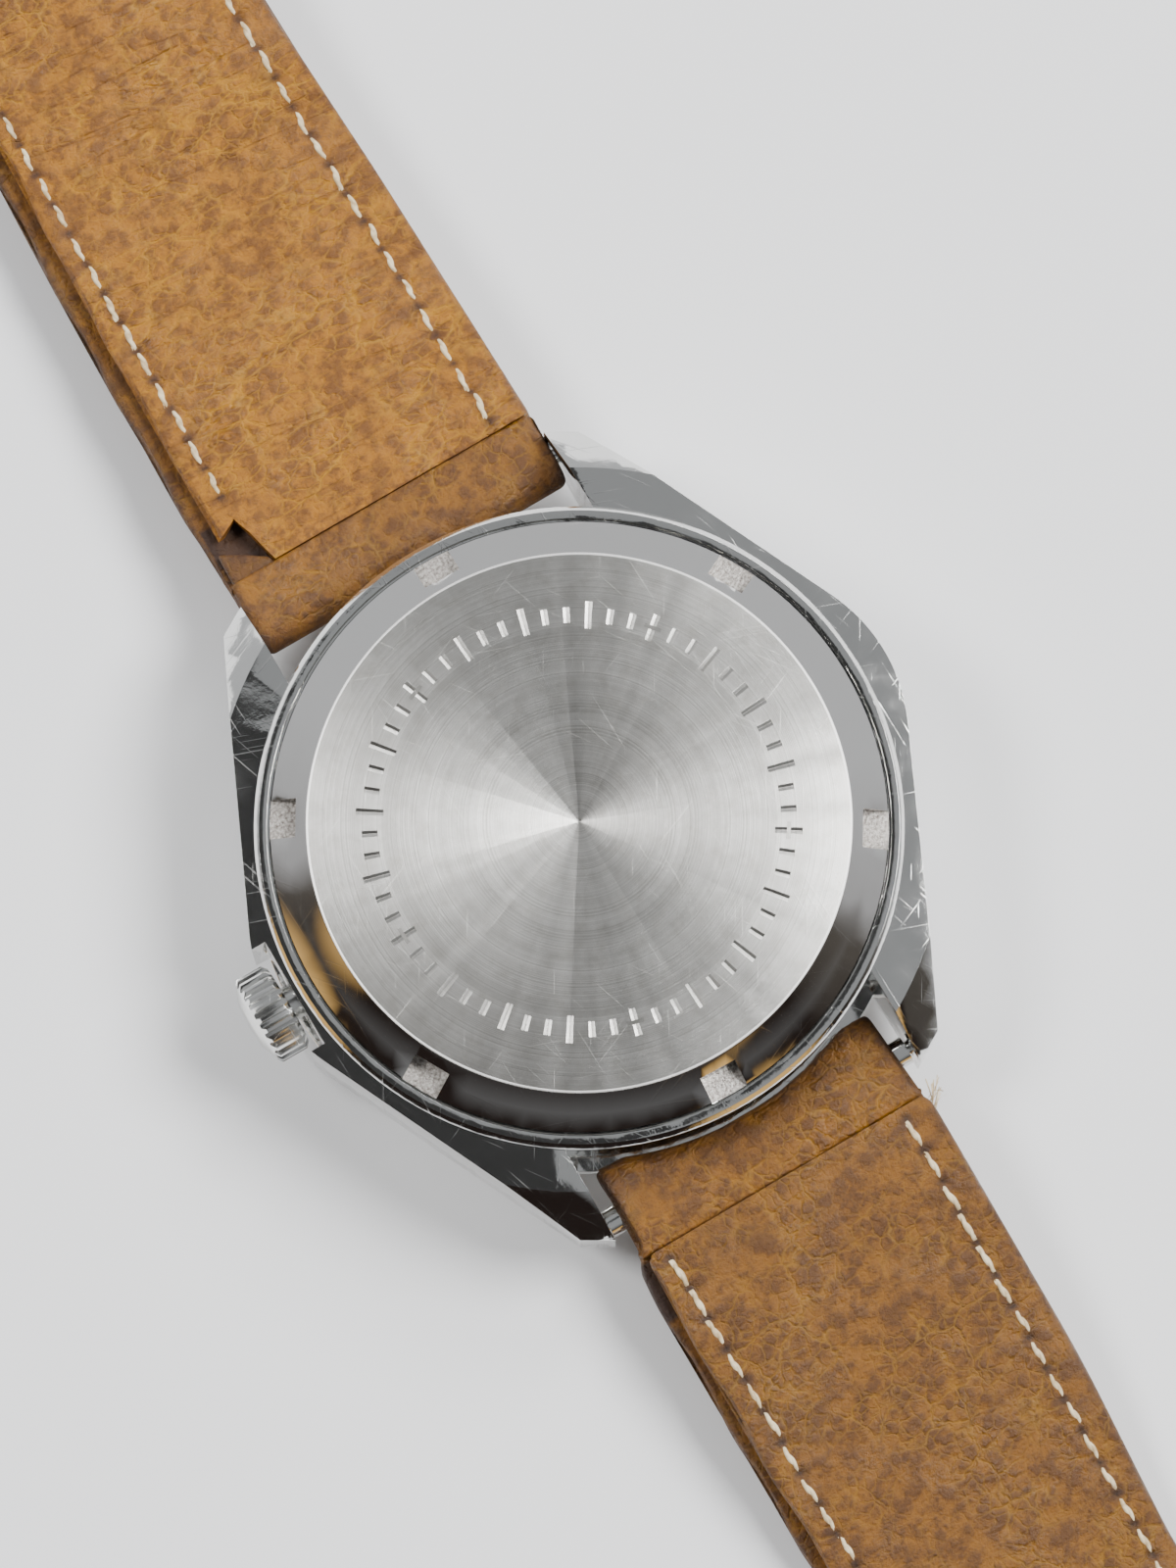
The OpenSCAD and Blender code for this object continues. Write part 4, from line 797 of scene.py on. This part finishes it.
def make_frayed_thread(material):
    """A small tuft of loose fibres at the edge of the 6 o'clock strap."""
    rng = np.random.default_rng(21)
    verts, faces, count = [], [], 0
    for _ in range(FIBRE_COUNT):
        s = np.linspace(0, 1, FIBRE_STEPS)
        bend = rng.normal(0, 0.5, 3)
        reach = rng.uniform(0.6, 1.5)
        x = FIBRE_AT[0] + reach * s * 0.7
        y = FIBRE_AT[1] + rng.normal(0, 0.2) + bend[0] * s ** 2 + s * 0.8
        z = FIBRE_AT[2] + rng.normal(0, 0.1) + bend[1] * 0.5 * s ** 2
        v, f = tube(np.stack([x, y, z], 1), FIBRE_R, FIBRE_SIDES)
        verts.append(v)
        faces += [[i + count for i in face] for face in f]
        count += len(v)
    make_piece("frayed_thread", np.concatenate(verts), faces, material, "strap_6", (), None, 80)


# ---- metal case, crown and buckle ----


def engraved_marks(tree, coord, radius):
    """Generic ornament: short engraved strokes on a ring, in groups, as a depth from 0 to 1."""
    parts = add(tree, "ShaderNodeSeparateXYZ", {0: coord})
    angle = math_node(tree, "ARCTAN2", parts.outputs["Y"], parts.outputs["X"])
    turns = math_node(tree, "DIVIDE", math_node(tree, "ADD", angle, math.pi), 2 * math.pi)
    step = math_node(tree, "MULTIPLY", turns, MARK_COUNT)
    near = math_node(tree, "ABSOLUTE", math_node(tree, "SUBTRACT", math_node(tree, "FRACT", step), 0.5))
    stroke = map_range(tree, near, 0.01, 0.15, 1.0, 0.0)
    index = math_node(tree, "FLOOR", step)
    is_long = math_node(tree, "LESS_THAN", math_node(tree, "MODULO", index, LONG_MARK_EVERY), 0.5)
    length = math_node(tree, "ADD", math_node(tree, "MULTIPLY", is_long, LONG_MARK_EXTRA), MARK_HALF_LEN)
    off = math_node(tree, "ABSOLUTE", math_node(tree, "SUBTRACT", radius, MARK_R))
    inside = math_node(tree, "LESS_THAN", off, length)
    on_ring = math_node(tree, "LESS_THAN", off, CROSS_HALF_W)
    has_cross = math_node(tree, "LESS_THAN", math_node(tree, "MODULO", index, CROSS_EVERY), 0.5)
    beside = math_node(tree, "MULTIPLY", has_cross, math_node(tree, "LESS_THAN", near, CROSS_HALF_LEN))
    cross = math_node(tree, "MULTIPLY", on_ring, beside)
    return math_node(tree, "MAXIMUM", math_node(tree, "MULTIPLY", stroke, inside), cross)


def case_back_steel(name):
    """One metal for the whole back: turned disc with a painted highlight ring at its edge, polished bevel,
    rough wrench slots.
    """
    mat, tree, bsdf = new_material(name, metallic=1.0)
    coord = mm_coords(tree)
    flat = mm_coords(tree, (1, 1, 0))
    radius = add(tree, "ShaderNodeVectorMath", {0: flat}, operation="LENGTH").outputs["Value"]
    height = add(tree, "ShaderNodeSeparateXYZ", {0: coord}).outputs["Z"]
    on_disc = math_node(tree, "LESS_THAN", radius, DISC_R - 0.1)
    in_slot = math_node(tree, "MULTIPLY", math_node(tree, "LESS_THAN", height, SLOT_FLOOR_BELOW_Z),
                        math_node(tree, "LESS_THAN", radius, BACK_R - 0.02))
    rings = turned_rings(tree, radius)
    marks = engraved_marks(tree, flat, radius)
    wear = noise_node(tree, flat, 1.2, 5.0)
    lines = scratches(tree)
    brushed = mix(tree, map_range(tree, rings, 0.30, 0.70, 0, 1), RING_DARK, RING_LIGHT)
    brushed = mix(tree, map_range(tree, wear, 0.45, 0.75, 0.0, 0.40), brushed, WORN_PATCH)
    brushed = mix(tree, math_node(tree, "MULTIPLY", marks, 0.35), brushed, ENGRAVED)
    grain = noise_node(tree, coord, 6.0, 6.0, 0.7)
    floor = ramp(tree, grain, (0.35, SLOT_DARK), (0.6, SLOT_LIGHT))
    from_rim = math_node(tree, "ABSOLUTE", math_node(tree, "SUBTRACT", radius, DISC_R - RIM_IN))
    # The thin bright ring at the disc's edge is a painted highlight.
    rim_highlight = math_node(tree, "LESS_THAN", from_rim, RIM_HALF_W)
    brushed = mix(tree, rim_highlight, brushed, PAINTED_RIM_HIGHLIGHT)
    colour = mix(tree, on_disc, BEVEL_TINT, brushed)
    colour = mix(tree, in_slot, colour, floor)
    tree.links.new(colour, bsdf.inputs["Base Color"])
    disc_rough = math_node(tree, "ADD", map_range(tree, rings, 0.2, 0.8, 0.24, 0.40),
                           math_node(tree, "MULTIPLY", lines, 0.05))
    bevel_rough = math_node(tree, "ADD", map_range(tree, wear, 0.3, 0.8, 0.04, 0.12),
                            math_node(tree, "MULTIPLY", lines, 0.06))
    rough = add(tree, "ShaderNodeMix", {0: on_disc, 2: bevel_rough, 3: disc_rough}).outputs[0]
    rough = add(tree, "ShaderNodeMix", {0: in_slot, 2: rough, 3: 0.40}).outputs[0]
    rough = add(tree, "ShaderNodeMix", {0: rim_highlight, 2: rough, 3: 0.6}).outputs[0]
    tree.links.new(rough, bsdf.inputs["Roughness"])
    tree.links.new(math_node(tree, "MULTIPLY", on_disc, 0.62), bsdf.inputs["Anisotropic"])
    tangent = add(tree, "ShaderNodeTangent", direction_type="RADIAL", axis="Z")
    tree.links.new(tangent.outputs[0], bsdf.inputs["Tangent"])
    bsdf.inputs["Anisotropic Rotation"].default_value = 0.25
    turned = math_node(tree, "MULTIPLY", math_node(tree, "MULTIPLY", rings, on_disc), 0.7)
    milled = math_node(tree, "MULTIPLY", math_node(tree, "MULTIPLY", grain, in_slot), 3.0)
    scratch_depth = map_range(tree, on_disc, 0, 1, 0.25, 1.0)
    normal = bump(tree, math_node(tree, "ADD", turned, milled), 0.5, 0.03)
    normal = bump(tree, math_node(tree, "MULTIPLY", lines, scratch_depth), 0.22, 0.006, normal)
    normal = bump(tree, math_node(tree, "SUBTRACT", 1.0, marks), 0.7, 0.10, normal)
    tree.links.new(normal, bsdf.inputs["Normal"])
    return mat


def turned_rings(tree, radius):
    """Fine concentric tool marks over broader ones."""
    vec = add(tree, "ShaderNodeCombineXYZ", {"X": radius}).outputs[0]
    fine = noise_node(tree, vec, 12.0, 6.0, 0.75)
    broad = noise_node(tree, vec, 1.1, 2.0, 0.5)
    return math_node(tree, "ADD", math_node(tree, "MULTIPLY", fine, 0.8),
                     math_node(tree, "MULTIPLY", broad, 0.2))


# ---- everything gets its finish ----


def finish_metal():
    """Materials and rounded edges for the CAD nodes that are shown."""
    paint(polished_steel("worn_chrome", 0.07), "case_body", "bezel_ring")
    paint(case_back_steel("screw_back_steel"), "case_back")
    paint(polished_steel("crown_chrome", 0.14), "crown", "crown_tube", "winding_stem")
    paint(polished_steel("buckle_chrome", 0.09), "buckle_frame", "buckle_tongue", "buckle_bar",
          "spring_bar_12", "spring_bar_6")
    soften("case_body", 0.34, 4)
    soften("case_back", 0.07, 3, 20)
    soften("bezel_ring", 0.12)
    soften("crown", 0.09, 3)
    soften("buckle_frame", 0.35, 4)
    soften("buckle_tongue", 0.25, 4)
    soften("buckle_bar", 0.08)


def finish_movement():
    """Materials for the dial, hands, plates, wheels, glass and gaskets."""
    brass = plated("movement_brass", (0.78, 0.60, 0.30))
    nickel = plated("nickel_plate", (0.70, 0.68, 0.64), 0.32)
    steel = plated("small_steel", (0.66, 0.67, 0.69), 0.18)
    gilt = plated("gilt", (0.88, 0.66, 0.30), 0.15)
    blue = plated("blued_steel", (0.04, 0.08, 0.30), 0.15)
    rubber = coated("black_rubber", (0.03, 0.03, 0.03), 0.6)
    paint(brass, "movement_ring", "mainspring_barrel", "centre_wheel", "third_wheel", "fourth_wheel",
          "minute_wheel", "hour_wheel", "cannon_pinion")
    paint(nickel, "main_plate", "barrel_bridge", "train_bridge", "balance_cock", "pallet_bridge")
    paint(steel, "mainspring", "barrel_arbor", "ratchet_wheel", "ratchet_screw", "crown_wheel",
          "crown_wheel_screw", "click", "escape_wheel", "pallet_fork", "regulator", "winding_pinion",
          "clutch_wheel", "setting_lever", "yoke", "setting_wheel")
    paint(gilt, "balance_wheel", "hour_markers")
    paint(blue, "hairspring", "bridge_screws", "hour_hand", "minute_hand", "seconds_hand")
    paint(rubber, "case_back_gasket", "crown_gasket")
    paint(coated("ivory_gasket", (0.80, 0.78, 0.68), 0.4), "crystal_gasket")
    paint(coated("dial_lacquer", (0.80, 0.76, 0.64), 0.35, 0.3), "dial")
    paint(coated("ruby", (0.50, 0.02, 0.09), 0.08), "jewels")
    paint(crystal_glass("crystal"), "crystal")
    for node in ("ratchet_wheel", "crown_wheel", "barrel_bridge", "train_bridge", "balance_cock",
                 "hour_markers"):
        soften(node, 0.03, 2)


# ---- stage, light and camera ----


def make_floor():
    """A plain pale table top with a little unevenness."""
    mat, tree, bsdf = new_material("pale_table", roughness=0.62)
    vec = mm_coords(tree)
    soft = noise_node(tree, vec, 0.02, 3.0)
    fine = noise_node(tree, vec, 1.0, 5.0)
    colour = mix(tree, soft, TABLE_COOL, TABLE_WARM)
    tree.links.new(colour, bsdf.inputs["Base Color"])
    tree.links.new(bump(tree, fine, 0.06, 0.05), bsdf.inputs["Normal"])
    mesh = bpy.data.meshes.new("table_top")
    corners = ((-1, -1), (1, -1), (1, 1), (-1, 1))
    mesh.from_pydata([(x * TABLE_HALF_M, y * TABLE_HALF_M, 0) for x, y in corners], [], [(0, 1, 2, 3)])
    mesh.materials.append(mat)
    floor = bpy.data.objects.new("table_top", mesh)
    bpy.context.scene.collection.objects.link(floor)


def view_dir(right, up, height):
    """A unit direction given along the picture's right and up, and along the height."""
    v = VIEW_RIGHT * right + VIEW_UP * up + np.array([0, 0, height])
    return v / np.linalg.norm(v)


def dot_with(tree, direction, towards):
    """How closely a direction points at a place given in the picture's right, up and height."""
    target = tuple(float(v) for v in view_dir(*towards))
    return add(tree, "ShaderNodeVectorMath", {0: direction, 1: target},
               operation="DOT_PRODUCT").outputs["Value"]


def make_world():
    """A soft room: grey walls, a dimmer ceiling, a dark side with two warm lamps."""
    world = bpy.data.worlds.new("room")
    bpy.context.scene.world = world
    world.use_nodes = True
    tree = world.node_tree
    direction = add(tree, "ShaderNodeTexCoord").outputs["Generated"]
    warp = map_range(tree, noise_node(tree, direction, 2.4, 3.0, 0.5), 0.3, 0.7, -0.08, 0.08)
    side = math_node(tree, "ADD", dot_with(tree, direction, ROOM_DARK), warp)
    walls = ramp(tree, map_range(tree, side, -1, 1, 0, 1), *ROOM_SHADES)
    height = add(tree, "ShaderNodeSeparateXYZ", {0: direction}).outputs["Z"]
    ceiling = map_range(tree, height, *CEILING_HEIGHTS, 0.0, 1.0)
    colour = mix(tree, ceiling, walls, CEILING)
    for lamp in ROOM_LAMPS:
        warm = map_range(tree, dot_with(tree, direction, lamp), *LAMP_EDGE, 0, 1)
        colour = mix(tree, warm, colour, WARM_LIGHT)
    tree.links.new(colour, tree.nodes["Background"].inputs["Color"])


def area_light(name, towards, distance, size, power):
    """A soft panel at a direction from the watch, facing it."""
    light = bpy.data.lights.new(name, "AREA")
    light.shape, light.size, light.energy = "DISK", size, power
    obj = bpy.data.objects.new(name, light)
    place = Vector(view_dir(*towards)) * distance
    obj.location = place
    obj.rotation_euler = (-place).to_track_quat("-Z", "Y").to_euler()
    bpy.context.scene.collection.objects.link(obj)


def dark_card():
    """The dark shape of whoever stands over the table, seen only in the polished steel."""
    mat = new_material("dark_card", base_color=(0.02, 0.02, 0.02, 1), roughness=1.0)[0]
    verts = []
    for right, up in CARD_OUTLINE:
        place = VIEW_RIGHT * right + VIEW_UP * up
        verts.append((place[0] * MM, place[1] * MM, CARD_Z * MM))
    mesh = bpy.data.meshes.new("dark_card")
    mesh.from_pydata(verts, [], [tuple(range(len(verts)))])
    mesh.materials.append(mat)
    card = bpy.data.objects.new("dark_card", mesh)
    bpy.context.scene.collection.objects.link(card)
    card.visible_diffuse = False
    card.visible_shadow = False
    card.visible_camera = False


def make_lights():
    """Three soft panels: direction, distance and size in metres, power in watts."""
    area_light("key_panel", (1.0, 0.30, 1.45), 1.3, 0.6, 24)
    area_light("fill_panel", (-1.0, 0.20, 1.3), 1.4, 0.5, 14)
    area_light("top_panel", (0.45, 1.0, 1.0), 1.5, 0.5, 8)


def make_camera():
    """The view almost straight down, with 12 o'clock to the upper left."""
    data = bpy.data.cameras.new("photo_camera")
    data.sensor_width, data.lens = SENSOR_W, LENS
    data.clip_start, data.clip_end = NEAREST_M, FARTHEST_M
    cam = bpy.data.objects.new("photo_camera", data)
    lean, rise = math.cos(VIEW_ELEVATION), math.sin(VIEW_ELEVATION)
    back = Vector((-VIEW_UP[0] * lean, -VIEW_UP[1] * lean, rise))
    cam.location = Vector(AIM) * MM + back * CAMERA_DISTANCE * MM
    cam.rotation_euler = (-back).to_track_quat("-Z", "Y").to_euler()
    bpy.context.scene.collection.objects.link(cam)
    bpy.context.scene.camera = cam


# ---- build ----

finish_metal()
finish_movement()
tan_leather = leather("strap_leather", (1.0, 1.0, 1.0), 0.12, 0.53)
skin_12 = leather("skin_leather_12", (0.75, 1.2, 1.0), 0.35, 0.80)
skin_6 = leather("skin_leather_6", (1.0, 1.0, 1.0), 0.10, 0.46)
make_straps(tan_leather, skin_12, skin_6)
cream = thread("cream_thread")
make_stitching("strap_12_thread", False, cream, "strap_12_stitching", 4)
make_stitching("strap_6_thread", True, cream, "strap_6_stitching", 5)
make_keeper("fixed_keeper_loop", "fixed_keeper", "strap_12", tan_leather)
make_keeper("free_keeper_loop", "free_keeper", "free_keeper", tan_leather)
make_frayed_thread(cream)
make_floor()
make_world()
make_lights()
dark_card()
make_camera()
